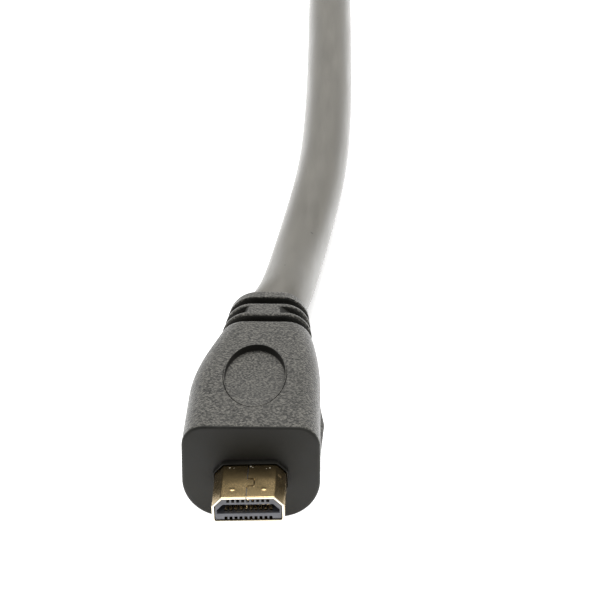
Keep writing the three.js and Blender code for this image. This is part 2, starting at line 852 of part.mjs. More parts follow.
function jackscrew(x) {
  const cornerRadius = jackFlats / 2 / Math.cos(30 * degree);
  const outside = cornerRadius + jackChamfer;
  const seat = -jackSeat;
  const front = seat - jackReach;
  const head = new THREE.CylinderGeometry(cornerRadius, cornerRadius, jackReach, 6);
  head.translate(x, (front + seat) / 2, 0);
  const cone = new THREE.LatheGeometry([
    new THREE.Vector2(0, front),
    new THREE.Vector2(cornerRadius - jackChamfer, front),
    new THREE.Vector2(outside, front + jackChamferLength),
    new THREE.Vector2(outside, seat),
    new THREE.Vector2(0, seat),
  ], screwChamferSides);
  cone.translate(x, 0, 0);
  const shank = bar(jackShankRadius, x, 0, seat - jackChamfer, jackShankLength, screwSides);
  const bore = bar(jackBore, x, 0, front - cutMargin, front + jackBoreDepth, screwSides);
  const solid = toSolid(head).intersect(toSolid(cone)).add(toSolid(shank));
  return toGeometry(cut(solid, [bore]));
}

function vgaHousing() {
  const pocketWidth = flangeWidth + 2 * flangeClearance;
  const pocketHeight = flangeHeight + 2 * flangeClearance;
  const pocketOutline = rectangleOutline(pocketWidth, pocketHeight, flangeRadius);
  const flangePocket = prism(pocketOutline, -cutMargin, flangeThickness + flangeClearance);
  const collarOutline = socketOutline(socketInsertCollar + flangeClearance);
  const collarEnd = flangeThickness + socketInsertClearance + socketInsertDepth + flangeClearance;
  const collarPocket = prism(collarOutline, -cutMargin, collarEnd, socketCornerSides);
  const cutters = [flangePocket, collarPocket, ...screwHoles(jackShankLength + flangeClearance)];
  cutters.forEach((cutter) => cutter.translate(0, 0, housingAxisHeight));
  return toGeometry(cut(hoodSolid(housingHood), cutters));
}

// Assembly

const plugEnd = new THREE.Group();
plugEnd.add(namedMesh('plug_overmould', plugOvermould(), softGrey));

const plugFront = new THREE.Group();
plugFront.position.z = shellAxisHeight;
plugFront.rotation.y = shellTilt * degree;
plugFront.add(namedMesh('plug_shell', plugShell(), gold));
plugFront.add(namedMesh('plug_insulator', plugInsert(), insertGrey));
plugFront.add(...plugContacts());
plugEnd.add(plugFront);

const cableEnd = cableRoute[cableRoute.length - 1];
const housingReliefEnd = cableEnd[1] + cableGap;
const housingFace = housingReliefEnd + housingReliefLength + housingLength;

const vgaEnd = new THREE.Group();
vgaEnd.position.set(housingOffset, housingFace, 0);
vgaEnd.rotation.z = Math.PI;
vgaEnd.add(namedMesh('vga_housing', vgaHousing(), softGrey));

const socket = new THREE.Group();
socket.position.z = housingAxisHeight;
socket.add(namedMesh('vga_shell', socketShell(), nickel));
socket.add(namedMesh('vga_insulator', socketInsert(), socketBlue));
pinPlaces().forEach(([x, z], i) => {
  socket.add(namedMesh(`vga_contact_${i + 1}`, socketContact(x, z), contactGold));
});
jackSides.forEach(([side, sign]) => {
  socket.add(namedMesh(`jackscrew_${side}`, jackscrew((sign * jackSpacing) / 2), nickel));
});
vgaEnd.add(socket);

const adapter = new THREE.Group();
adapter.add(plugEnd);
adapter.add(namedMesh('cable', cableTube(), cableGrey));
adapter.add(vgaEnd);

// The origin is under the middle of the plug and the VGA end taken together.
const frontEnd = -shellReach;
const backEnd = housingFace + socketReach;
adapter.position.set(-housingOffset, -(frontEnd + backEnd) / 2, 0);

export default adapter;
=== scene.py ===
"""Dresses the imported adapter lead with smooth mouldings, gold plate, cable jacket and socket."""

import logging
import math
from collections.abc import Callable, Iterable, Sequence
from dataclasses import dataclass, field
from enum import Enum

import bmesh
import bpy
from mathutils import Matrix, Vector


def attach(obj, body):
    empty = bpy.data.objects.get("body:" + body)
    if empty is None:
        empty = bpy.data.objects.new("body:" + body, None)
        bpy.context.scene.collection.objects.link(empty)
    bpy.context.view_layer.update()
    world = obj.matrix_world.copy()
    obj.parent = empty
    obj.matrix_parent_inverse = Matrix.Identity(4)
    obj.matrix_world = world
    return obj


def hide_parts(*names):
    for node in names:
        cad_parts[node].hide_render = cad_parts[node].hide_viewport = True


LOG = logging.getLogger("adapter")
MM = 0.001
BODY = "root"

Loop = list[tuple[float, float]]
Ring = list[Vector]
Colour = tuple[float, float, float]

# Where the two ends stand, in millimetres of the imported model.
PLUG_AXIS_X = -4.0
PLUG_FACE_Y = -114.45
HOUSING_FACE_Y = 114.25

# Sizes in millimetres that more than one piece shares.
CABLE_RADIUS = 2.5
SCREW_SPACING = 24.99
SCREW_HOLE_RADIUS = 1.52
FLANGE_RADIUS = 1.05

# How far a cutter reaches past the surface that it opens, in millimetres.
PAST = 0.3

# Angles at which a rounded edge gets its rings, and the steps of a moulding's rounded ends.
ROUND_ANGLES = (0.0, 0.4, 0.8, 1.2, math.pi / 2)
ROUND_STEPS = 6


class Region(Enum):
    """Material slots of a piece: its grained or plated surface and its smooth or cut one, which
    also carries painted shade in the mouldings' gaps and recesses and a painted highlight on the
    shell's rim.
    """

    GRAIN = 0
    SMOOTH = 1


class RecessLevel(Enum):
    """Parts of the finger recess that its cutter has rings for."""

    FOOT = "foot"
    RIM = "rim"
    ABOVE = "above"


class Side(Enum):
    """Side of the socket in its own drawing, with its sign on the X axis."""

    LEFT = -1
    RIGHT = 1


def ease(value: float, low: float, high: float) -> float:
    """Smooth step.

    Args:
        value: Where the step is read.
        low: Where it starts to rise.
        high: Where it has risen.

    Returns:
        0 below low, 1 above high and a smooth curve between.
    """
    share = min(max((value - low) / (high - low), 0.0), 1.0)
    return share * share * (3 - 2 * share)


def mix(start: float, end: float, share: float) -> float:
    """Value between two others.

    Args:
        start: The value at share 0.
        end: The value at share 1.
        share: How far to go.

    Returns:
        The value in between.
    """
    return start + (end - start) * share


def plug_place() -> Matrix:
    """Returns the matrix from plug millimetres to the model's metres."""
    return Matrix.Scale(MM, 4) @ Matrix.Translation((PLUG_AXIS_X, PLUG_FACE_Y, 0))


def housing_place(height: float = 0.0) -> Matrix:
    """Matrix from housing millimetres, its face at Y = 0 looking along -Y, to metres.

    Args:
        height: Height of the drawing's zero over the floor in millimetres.

    Returns:
        The matrix.
    """
    turn = Matrix.Rotation(math.pi, 4, "Z")
    return Matrix.Scale(MM, 4) @ Matrix.Translation((0, HOUSING_FACE_Y, height)) @ turn


@dataclass(frozen=True)
class Mark:
    """Small round mark on a surface, in millimetres of the model."""

    place: tuple[float, float, float]
    radius: float
    colour: Colour


class NodeSheet:
    """A material's node tree with short ways to add what the finishes need."""

    def __init__(self, name: str) -> None:
        """Starts an empty material with one surface shader.

        Args:
            name: Name of the material.
        """
        self.material = bpy.data.materials.new(name)
        self.material.use_nodes = True
        self.tree = self.material.node_tree
        self.tree.nodes.clear()
        self.shader = self.tree.nodes.new("ShaderNodeBsdfPrincipled")
        output = self.tree.nodes.new("ShaderNodeOutputMaterial")
        self.tree.links.new(self.shader.outputs["BSDF"], output.inputs["Surface"])
        self.place = self.tree.nodes.new("ShaderNodeTexCoord").outputs["Object"]

    def link(self, source: bpy.types.NodeSocket, target: bpy.types.NodeSocket) -> None:
        """Joins an output to an input."""
        self.tree.links.new(source, target)

    def feed(self, name: str, source: bpy.types.NodeSocket) -> None:
        """Joins an output to the surface shader's input of that name."""
        self.link(source, self.shader.inputs[name])

    def give(self, name: str, value: float | Sequence[float]) -> None:
        """Sets the surface shader's input of that name to one value all over."""
        self.shader.inputs[name].default_value = value

    def distance(self, place: Sequence[float]) -> bpy.types.NodeSocket:
        """Distance from a place.

        Args:
            place: The place in millimetres of the model.

        Returns:
            The distance output, in metres.
        """
        node = self.tree.nodes.new("ShaderNodeVectorMath")
        node.operation = "DISTANCE"
        self.link(self.place, node.inputs[0])
        node.inputs[1].default_value = Vector(place) * MM
        return node.outputs["Value"]

    def stretched(self, scale: Sequence[float]) -> bpy.types.NodeSocket:
        """Object coordinates stretched along the axes.

        Args:
            scale: Factor along X, Y and Z.

        Returns:
            The vector output.
        """
        node = self.tree.nodes.new("ShaderNodeMapping")
        node.inputs["Scale"].default_value = scale
        self.link(self.place, node.inputs["Vector"])
        return node.outputs["Vector"]

    def noise(
        self,
        size: float,
        detail: float = 2.0,
        rough: float = 0.5,
        vector: bpy.types.NodeSocket | None = None,
    ) -> bpy.types.NodeSocket:
        """Noise pattern.

        Args:
            size: Size of its patches in millimetres.
            detail: Number of finer layers.
            rough: Strength of the finer layers.
            vector: Coordinates, or None for the object's own.

        Returns:
            The value output.
        """
        node = self.tree.nodes.new("ShaderNodeTexNoise")
        node.inputs["Scale"].default_value = 1 / (size * MM)
        node.inputs["Detail"].default_value = detail
        node.inputs["Roughness"].default_value = rough
        self.link(vector or self.place, node.inputs["Vector"])
        return node.outputs["Fac"]

    def cells(self, size: float) -> bpy.types.NodeSocket:
        """Cell pattern.

        Args:
            size: Size of a cell in millimetres.

        Returns:
            The distance output.
        """
        node = self.tree.nodes.new("ShaderNodeTexVoronoi")
        node.inputs["Scale"].default_value = 1 / (size * MM)
        self.link(self.place, node.inputs["Vector"])
        return node.outputs["Distance"]

    def ramp(
        self, value: bpy.types.NodeSocket, stops: Sequence[tuple[float, Colour]]
    ) -> bpy.types.NodeSocket:
        """Colours along a value.

        Args:
            value: The value read.
            stops: Places from 0 to 1 with their colours.

        Returns:
            The colour output.
        """
        node = self.tree.nodes.new("ShaderNodeValToRGB")
        elements = node.color_ramp.elements
        while len(elements) < len(stops):
            elements.new(0.5)
        for element, (place, colour) in zip(elements, stops):
            element.position = place
            element.color = (*colour, 1)
        self.link(value, node.inputs["Fac"])
        return node.outputs["Color"]

    def shaded(
        self, pattern: bpy.types.NodeSocket, colour: Colour, dull: float, pale: float
    ) -> bpy.types.NodeSocket:
        """Colour that gets duller and paler with a pattern.

        Args:
            pattern: The pattern.
            colour: The colour.
            dull: Factor on the colour where the pattern is low.
            pale: Factor on the colour where the pattern is high.

        Returns:
            The colour output.
        """
        stops = [(0.3, tuple(c * dull for c in colour)), (0.7, tuple(c * pale for c in colour))]
        return self.ramp(pattern, stops)

    def spread(
        self,
        value: bpy.types.NodeSocket,
        low: float,
        high: float,
        bottom: float = 0.3,
        top: float = 0.7,
    ) -> bpy.types.NodeSocket:
        """Value mapped to another range.

        Args:
            value: The value read.
            low: Result where the value is at the bottom.
            high: Result where the value is at the top.
            bottom: Lowest value read.
            top: Highest value read.

        Returns:
            The mapped value.
        """
        node = self.tree.nodes.new("ShaderNodeMapRange")
        node.inputs["From Min"].default_value = bottom
        node.inputs["From Max"].default_value = top
        node.inputs["To Min"].default_value = low
        node.inputs["To Max"].default_value = high
        self.link(value, node.inputs["Value"])
        return node.outputs["Result"]

    def marked(
        self, base: bpy.types.NodeSocket | Colour, marks: Sequence[Mark]
    ) -> bpy.types.NodeSocket:
        """Lays small round marks over a colour.

        Args:
            base: The colour below.
            marks: The marks.

        Returns:
            The colour output.
        """
        for mark in marks:
            away = self.distance(mark.place)
            share = self.spread(away, 1.0, 0.0, mark.radius * 0.4 * MM, mark.radius * MM)
            base = self.blend(share, base, mark.colour)
        return base

    def blend(
        self,
        share: bpy.types.NodeSocket,
        first: bpy.types.NodeSocket | Colour,
        second: bpy.types.NodeSocket | Colour,
    ) -> bpy.types.NodeSocket:
        """Mix of two colours.

        Args:
            share: Share of the second colour.
            first: First colour or output.
            second: Second colour or output.

        Returns:
            The mixed colour.
        """
        node = self.tree.nodes.new("ShaderNodeMix")
        node.data_type = "RGBA"
        self.link(share, node.inputs["Factor"])
        for socket, colour in ((node.inputs[6], first), (node.inputs[7], second)):
            if isinstance(colour, tuple):
                socket.default_value = (*colour, 1)
            else:
                self.link(colour, socket)
        return node.outputs[2]

    def bump(
        self,
        height: bpy.types.NodeSocket,
        depth: float,
        strength: float = 1.0,
        under: bpy.types.NodeSocket | None = None,
    ) -> bpy.types.NodeSocket:
        """Relief read from a height pattern.

        Args:
            height: The height pattern.
            depth: Depth of the relief in millimetres.
            strength: Strength of the relief.
            under: A coarser relief below this one.

        Returns:
            The normal output.
        """
        node = self.tree.nodes.new("ShaderNodeBump")
        node.inputs["Distance"].default_value = depth * MM
        node.inputs["Strength"].default_value = strength
        self.link(height, node.inputs["Height"])
        if under is not None:
            self.link(under, node.inputs["Normal"])
        return node.outputs["Normal"]


@dataclass(frozen=True)
class SparkErodedFinish:
    """Soft moulding with the fine grain that a spark eroded tool leaves."""

    name: str = "soft_moulding_grain"
    dark: Colour = (0.005, 0.005, 0.0035)
    light: Colour = (0.132, 0.125, 0.107)
    middle_share: float = 0.31
    roughness: float = 0.7
    grain: float = 0.2
    depth: float = 0.06
    cloud_size: float = 3.2
    specular: float = 0.3
    sheen: float = 0.5
    sheen_roughness: float = 0.35

    def material(self) -> bpy.types.Material:
        """Builds the material.

        Returns:
            The material.
        """
        sheet = NodeSheet(self.name)
        fine = sheet.noise(self.grain, 2.0, 0.6)
        tint = sheet.ramp(fine, [(0.36, self.dark), (0.5, self.middle()), (0.64, self.light)])
        cloud = sheet.noise(self.cloud_size, 3.0)
        soft = sheet.blend(sheet.spread(cloud, 0.0, 0.3), tint, self.middle())
        sheet.feed("Base Color", soft)
        sheet.feed("Roughness", sheet.spread(fine, self.roughness + 0.1, self.roughness - 0.1))
        sheet.feed("Normal", sheet.bump(fine, self.depth))
        sheet.give("Specular IOR Level", self.specular)
        sheet.give("Sheen Weight", self.sheen)
        sheet.give("Sheen Roughness", self.sheen_roughness)
        return sheet.material

    def middle(self) -> Colour:
        """Returns the colour between dark and light."""
        return tuple(mix(a, b, self.middle_share) for a, b in zip(self.dark, self.light))


@dataclass(frozen=True)
class PolishedMouldAndShadeFinish:
    """Soft moulding where the tool is polished: the front face and the rib gaps. Its dark colour
    also paints shade into the rib gaps, recess walls, pockets and bores.
    """

    name: str = "soft_moulding_smooth_and_shade"
    # Dark colour: the polished plastic's own tone, and painted shade where it lines gaps and
    # recesses.
    colour: Colour = (0.0125, 0.012, 0.0095)
    roughness: float = 0.5
    cloud_size: float = 1.6
    specular: float = 0.3

    def material(self) -> bpy.types.Material:
        """Builds the material.

        Returns:
            The material.
        """
        sheet = NodeSheet(self.name)
        cloud = sheet.noise(self.cloud_size, 4.0, 0.6)
        sheet.feed("Base Color", sheet.shaded(cloud, self.colour, 0.8, 1.3))
        sheet.feed("Roughness", sheet.spread(cloud, self.roughness - 0.06, self.roughness + 0.1))
        sheet.feed("Normal", sheet.bump(sheet.noise(0.5), 0.006, 0.5))
        sheet.give("Specular IOR Level", self.specular)
        return sheet.material


@dataclass(frozen=True)
class JacketFinish:
    """Extruded cable jacket: satin, a little milky, with dust specks."""

    name: str = "cable_jacket"
    colour: Colour = (0.107, 0.1, 0.083)
    speck: Colour = (0.05, 0.045, 0.04)
    speck_spacing: float = 2.6
    roughness: float = 0.42
    sheen: float = 0.45
    sheen_roughness: float = 0.3
    marks: tuple[Mark, ...] = ()

    def material(self) -> bpy.types.Material:
        """Builds the material.

        Returns:
            The material.
        """
        sheet = NodeSheet(self.name)
        drawn = sheet.noise(1.0, 3.0, 0.55, sheet.stretched((1, 0.12, 1)))
        base = sheet.shaded(drawn, self.colour, 0.9, 1.12)
        dots = sheet.spread(sheet.cells(self.speck_spacing), 0.8, 0.0, 0.03, 0.06)
        dusty = sheet.marked(sheet.blend(dots, base, self.speck), self.marks)
        sheet.feed("Base Color", dusty)
        sheet.feed("Roughness", sheet.spread(drawn, self.roughness - 0.05, self.roughness + 0.08))
        ripple = sheet.bump(drawn, 0.02, 0.35)
        sheet.feed("Normal", sheet.bump(sheet.noise(0.16), 0.006, 0.4, ripple))
        sheet.give("Sheen Weight", self.sheen)
        sheet.give("Sheen Roughness", self.sheen_roughness)
        return sheet.material


@dataclass(frozen=True)
class PlatedFinish:
    """Plated sheet metal with drawing marks along it and stains."""

    name: str
    colour: Colour
    stain: Colour
    roughness: float
    stain_size: float
    stain_share: float = 0.5
    marks: tuple[Mark, ...] = ()

    def material(self) -> bpy.types.Material:
        """Builds the material.

        Returns:
            The material.
        """
        sheet = NodeSheet(self.name)
        blotch = sheet.noise(self.stain_size, 4.0, 0.65)
        drawn = sheet.noise(0.12, 2.0, 0.5, sheet.stretched((1, 0.06, 1)))
        share = sheet.spread(blotch, 0.0, self.stain_share, 0.42, 0.72)
        plated = sheet.marked(sheet.blend(share, self.colour, self.stain), self.marks)
        sheet.feed("Base Color", plated)
        sheet.feed("Roughness", sheet.spread(blotch, self.roughness - 0.02, self.roughness + 0.04))
        lines = sheet.bump(drawn, 0.004, 0.25)
        sheet.feed("Normal", sheet.bump(sheet.noise(0.9, 1.0), 0.012, 0.3, lines))
        sheet.give("Metallic", 1.0)
        if self.marks:
            covered = [Mark(mark.place, mark.radius, (0.0, 0.0, 0.0)) for mark in self.marks]
            sheet.feed("Metallic", sheet.marked((1.0, 1.0, 1.0), covered))
        return sheet.material


@dataclass(frozen=True)
class MouldedFinish:
    """Hard moulded plastic of the two connector inserts."""

    name: str
    colour: Colour
    roughness: float = 0.42

    def material(self) -> bpy.types.Material:
        """Builds the material.

        Returns:
            The material.
        """
        sheet = NodeSheet(self.name)
        flow = sheet.noise(0.9, 3.0, 0.6)
        sheet.feed("Base Color", sheet.shaded(flow, self.colour, 0.82, 1.2))
        sheet.feed("Roughness", sheet.spread(flow, self.roughness - 0.08, self.roughness + 0.1))
        sheet.feed("Normal", sheet.bump(sheet.noise(0.2), 0.004, 0.4))
        return sheet.material


# Marks of the photographed lead: resin flecks and a stain on the shell, dust on the jacket.
RESIN = (0.5, 0.48, 0.42)
STAIN = (0.03, 0.02, 0.01)
DUST = (0.02, 0.018, 0.015)
RESIN_FLECKS = (
    Mark((-5.67, -115.3, 5.145), 0.1, RESIN),
    Mark((-5.32, -115.36, 5.157), 0.06, RESIN),
    Mark((-3.96, -115.14, 5.2), 0.1, RESIN),
    Mark((-3.8, -115.3, 5.206), 0.06, RESIN),
    Mark((-2.4, -115.41, 5.253), 0.1, RESIN),
    Mark((-2.68, -115.5, 5.243), 0.055, RESIN),
    Mark((-1.55, -116.3, 5.03), 0.2, STAIN),
)
JACKET_SPECKS = (
    Mark((0.058, -68.393, 4.83), 0.2, DUST),
    Mark((-2.254, -78.616, 6.182), 0.13, DUST),
)
GRAIN = SparkErodedFinish()
POLISHED_AND_SHADE = PolishedMouldAndShadeFinish()
JACKET = JacketFinish(marks=JACKET_SPECKS)
GOLD = PlatedFinish(
    "gold_plate", (0.5, 0.37, 0.185), (0.28, 0.18, 0.09), 0.24, 1.3, 0.12, RESIN_FLECKS
)
# Pale metal on the shell's front rim: partly the bare cut edge, partly a painted highlight along
# the rim.
CUT_EDGE_AND_HIGHLIGHT = PlatedFinish("gold_cut_edge_and_highlight", (0.9, 0.83, 0.68), (0.7, 0.57, 0.38), 0.3, 0.6, 0.3)
CONTACT_GOLD = PlatedFinish("contact_gold", (0.86, 0.68, 0.4), (0.6, 0.42, 0.2), 0.18, 0.4, 0.3)
NICKEL = PlatedFinish("nickel_plate", (0.66, 0.65, 0.63), (0.45, 0.44, 0.42), 0.27, 1.8)
SCREW_NICKEL = PlatedFinish("screw_nickel", (0.6, 0.6, 0.59), (0.4, 0.39, 0.37), 0.22, 1.2)
INSERT_GREY = MouldedFinish("plug_insert_grey", (0.105, 0.107, 0.12), 0.36)
SOCKET_BLUE = MouldedFinish("socket_insert_blue", (0.025, 0.07, 0.26))


def new_piece(
    name: str,
    mesh: bpy.types.Mesh,
    materials: Iterable[bpy.types.Material],
    nodes: Sequence[str] = (),
    sharp: float = 32.0,
) -> bpy.types.Object:
    """Turns a finished mesh into a piece of the object.

    Args:
        name: Name of the piece.
        mesh: Its mesh, in metres of the model.
        materials: Its materials, by slot.
        nodes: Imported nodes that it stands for.
        sharp: Angle in degrees from which an edge stays sharp.

    Returns:
        The new object.
    """
    mesh.name = name
    regions = [polygon.material_index for polygon in mesh.polygons]
    mesh.materials.clear()
    for material in materials:
        mesh.materials.append(material)
    for polygon, region in zip(mesh.polygons, regions):
        polygon.material_index = region
        polygon.use_smooth = True
    mesh.set_sharp_from_angle(angle=math.radians(sharp))
    piece = bpy.data.objects.new(name, mesh)
    bpy.context.scene.collection.objects.link(piece)
    if nodes:
        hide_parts(*nodes)
    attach(piece, BODY)
    LOG.info("%s: %d faces", name, len(mesh.polygons))
    return piece


def finished(built: bmesh.types.BMesh) -> bpy.types.Mesh:
    """Turns mesh data under construction into a mesh.

    Args:
        built: The mesh data, which is freed.

    Returns:
        The mesh.
    """
    mesh = bpy.data.meshes.new("built")
    built.to_mesh(mesh)
    built.free()
    return mesh


def lofted(
    rings: Sequence[Ring],
    place: Matrix,
    regions: Sequence[Region | Sequence[Region]] | None = None,
    closed: bool = False,
) -> bpy.types.Mesh:
    """Skin over a row of rings with the same number of points.

    Args:
        rings: The rings, in millimetres of the drawing.
        place: Matrix from the drawing to the model's metres.
        regions: Slot of each band of faces between two rings, or of each of its faces.
        closed: True where the last ring joins the first and there are no caps.

    Returns:
        The mesh.
    """
    built = bmesh.new()
    rows = [[built.verts.new(place @ point) for point in ring] for ring in rings]
    pairs = list(zip(rows, rows[1:]))
    if closed:
        pairs.append((rows[-1], rows[0]))
    count = len(rings[0])
    for band, (row, after) in enumerate(pairs):
        for i in range(count):
            j = (i + 1) % count
            face = built.faces.new((row[i], row[j], after[j], after[i]))
            if regions is not None:
                region = regions[band]
                face.material_index = (region if isinstance(region, Region) else region[i]).value
    if not closed:
        for row, end in ((rows[0], 0), (rows[-1], -1)):
            centre = built.verts.new(sum((v.co for v in row), Vector()) / count)
            for i in range(count):
                face = built.faces.new((row[i], row[(i + 1) % count], centre))
                if regions is not None:
                    face.material_index = regions[end].value
    bmesh.ops.recalc_face_normals(built, faces=built.faces)
    return finished(built)


def carved(
    mesh: bpy.types.Mesh,
    cutters: Iterable[bpy.types.Mesh],
    materials: Sequence[bpy.types.Material] = (),
) -> bpy.types.Mesh:
    """Takes cutter meshes out of a mesh.

    Args:
        mesh: The mesh that is cut.
        cutters: What is taken out.
        materials: Materials by slot, where the cut keeps the slots of both.

    Returns:
        The cut mesh.
    """
    scene = bpy.context.scene
    for material in materials:
        mesh.materials.append(material)
    body = bpy.data.objects.new("body", mesh)
    scene.collection.objects.link(body)
    tools = []
    for cutter in cutters:
        for material in materials:
            cutter.materials.append(material)
        tool = bpy.data.objects.new("tool", cutter)
        scene.collection.objects.link(tool)
        tools.append(tool)
        modifier = body.modifiers.new("cut", "BOOLEAN")
        modifier.operation = "DIFFERENCE"
        modifier.solver = "EXACT"
        modifier.material_mode = "INDEX"
        modifier.object = tool
    graph = bpy.context.evaluated_depsgraph_get()
    result = bpy.data.meshes.new_from_object(body.evaluated_get(graph))
    for thing in (body, *tools):
        bpy.data.objects.remove(thing)
    return result


def joined(meshes: Iterable[bpy.types.Mesh]) -> bpy.types.Mesh:
    """Puts several meshes into one.

    Args:
        meshes: The meshes.

    Returns:
        The joined mesh.
    """
    built = bmesh.new()
    for mesh in meshes:
        built.from_mesh(mesh)
    return finished(built)


def extruded(
    loop: Loop,
    place: Callable[[float, float, float], Vector],
    low: float,
    high: float,
) -> bpy.types.Mesh:
    """Prism over a flat outline.

    Args:
        loop: The outline.
        place: Turns a point of the outline and a level into a point of the model.
        low: Level of one end.
        high: Level of the other end.

    Returns:
        The mesh.
    """
    built = bmesh.new()
    below = [built.verts.new(place(a, b, low)) for a, b in loop]
    above = [built.verts.new(place(a, b, high)) for a, b in loop]
    built.faces.new(list(reversed(below)))
    built.faces.new(above)
    for i in range(len(loop)):
        j = (i + 1) % len(loop)
        built.faces.new((below[i], below[j], above[j], above[i]))
    bmesh.ops.recalc_face_normals(built, faces=built.faces)
    return finished(built)


def circle(radius: float, x: float, z: float, y: float, sides: int) -> Ring:
    """Round ring that stands on the plane at y.

    Args:
        radius: Its radius.
        x: Place of its middle across.
        z: Height of its middle.
        y: The plane.
        sides: Number of points.

    Returns:
        The ring.
    """
    return upright(arc((x, z), radius, 0, 360 * (sides - 1) / sides, sides - 1), y)


def arc(centre: tuple[float, float], radius: float, start: float, turn: float, steps: int) -> Loop:
    """Points on an arc.

    Args:
        centre: Middle of the arc.
        radius: Its radius.
        start: Angle of the first point in degrees.
        turn: Angle from the first point to the last.
        steps: Number of steps between them.

    Returns:
        The points.
    """
    points = []
    for i in range(steps + 1):
        angle = math.radians(start + turn * i / steps)
        points.append((centre[0] + radius * math.cos(angle), centre[1] + radius * math.sin(angle)))
    return points


def rounded_loop(
    corners: Sequence[tuple[float, float]],
    radii: Sequence[float],
    arc_steps: int,
    edge_steps: Sequence[int],
) -> Loop:
    """Closed outline with rounded corners, counter-clockwise.

    Args:
        corners: The sharp corners.
        radii: Radius of each corner.
        arc_steps: Steps round each corner.
        edge_steps: Steps along each edge after its corner.

    Returns:
        The outline's points.
    """
    arcs = []
    for i, corner in enumerate(corners):
        here = Vector(corner)
        into = (Vector(corners[i - 1]) - here).normalized()
        out = (Vector(corners[(i + 1) % len(corners)]) - here).normalized()
        half = into.angle(out) / 2
        reach = radii[i] / math.tan(half)
        middle = here + (into + out).normalized() * (radii[i] / math.sin(half))
        first = here + into * reach - middle
        start = math.degrees(math.atan2(first.y, first.x))
        turn = 180 - math.degrees(2 * half)
        arcs.append(arc((middle.x, middle.y), radii[i], start, turn, arc_steps))
    loop: Loop = []
    for i, points in enumerate(arcs):
        after = arcs[(i + 1) % len(arcs)][0]
        last = points[-1]
        loop.extend(points)
        for k in range(1, edge_steps[i]):
            share = k / edge_steps[i]
            loop.append((mix(last[0], after[0], share), mix(last[1], after[1], share)))
    return loop


def upright(loop: Loop, y: float) -> Ring:
    """Stands an outline of X and Z on the plane at y."""
    return [Vector((x, y, z)) for x, z in loop]


@dataclass(frozen=True)
class Section:
    """Rounded section through a moulding, in millimetres."""

    centre: float
    width: float
    bottom: float
    top: float
    top_radius: float
    bottom_radius: float
    least_radius: float = 0.05
    corner_steps: int = 20
    edge_steps: tuple[int, ...] = (34, 26, 34, 26)

    def middle(self) -> float:
        """Returns the height of its middle."""
        return (self.bottom + self.top) / 2

    def loop(self, inset: float = 0.0) -> Loop:
        """Outline of the section.

        Args:
            inset: How far inside the section's edge it runs.

        Returns:
            The outline's points.
        """
        half = self.width / 2 - inset
        low = self.bottom + inset
        high = self.top - inset
        top = max(self.top_radius - inset, self.least_radius)
        bottom = max(self.bottom_radius - inset, self.least_radius)
        corners = [(half, high), (-half, high), (-half, low), (half, low)]
        radii = [top, top, bottom, bottom]
        loop = rounded_loop(corners, radii, self.corner_steps, self.edge_steps)
        return [(x + self.centre, z) for x, z in loop]


@dataclass(frozen=True)
class RibGap:
    """One gap between two ribs of a strain relief, in millimetres."""

    start: float
    end: float
    depth: float
    side_depth: float
    bridged_at_sides: bool
    side_bridge: float
    top_bridge: float
    top_bridge_shift: float
    round_over: float
    back_share: float = 0.42
    run_out: float = 0.04
    side_fade: float = 0.35
    top_fade: float = 1.1

    def profile(self) -> list[tuple[float, float]]:
        """Works out places along the moulding with their share of the gap's depth.

        Returns:
            The places.
        """
        r, back = self.round_over, self.back_share
        near = [(-0.07, 0.0), (-0.02, 0.02), (0.0, 0.09), (0.015, 0.9), (0.07, 1.0)]
        far = [(-0.07, 1.0), (-0.012, 0.93), (0.0, back)]
        far += [(r * (1 - math.cos(a)), back * (1 - math.sin(a))) for a in (0.35, 0.7, 1.05, 1.3)]
        far += [(r, 0.0)]
        return [(self.start + y, s) for y, s in near] + [(self.end + y, s) for y, s in far]

    def sunk(self, section: Section, x: float, z: float, share: float) -> tuple[float, float]:
        """Moves a point of the outline into the gap.

        Args:
            section: The section that the gap is cut in.
            x: The point's place across.
            z: The point's height.
            share: Share of the gap's full depth.

        Returns:
            The moved point.
        """
        middle = section.middle()
        across = x - section.centre
        if self.bridged_at_sides:
            wide = section.width / 2 - self.side_depth
            high = (section.top - section.bottom) / 2 - self.depth
            bridged = abs(z - middle) < self.side_bridge / 2
        else:
            wide = section.width / 2 - self.depth
            high = (section.top - section.bottom) / 2 + self.run_out
            bridged = abs(across - self.top_bridge_shift) < self.top_bridge / 2
        reach = math.hypot(across / wide, (z - middle) / high)
        if bridged or reach <= 1:
            return x, z
        if self.bridged_at_sides:
            share *= ease(abs(z - middle) - self.side_bridge / 2, 0.0, self.side_fade)
        else:
            beside = abs(across - self.top_bridge_shift) - self.top_bridge / 2
            share *= ease(beside, 0.0, self.top_fade)
        pull = mix(1.0, 1 / reach, share)
        return section.centre + across * pull, middle + (z - middle) * pull


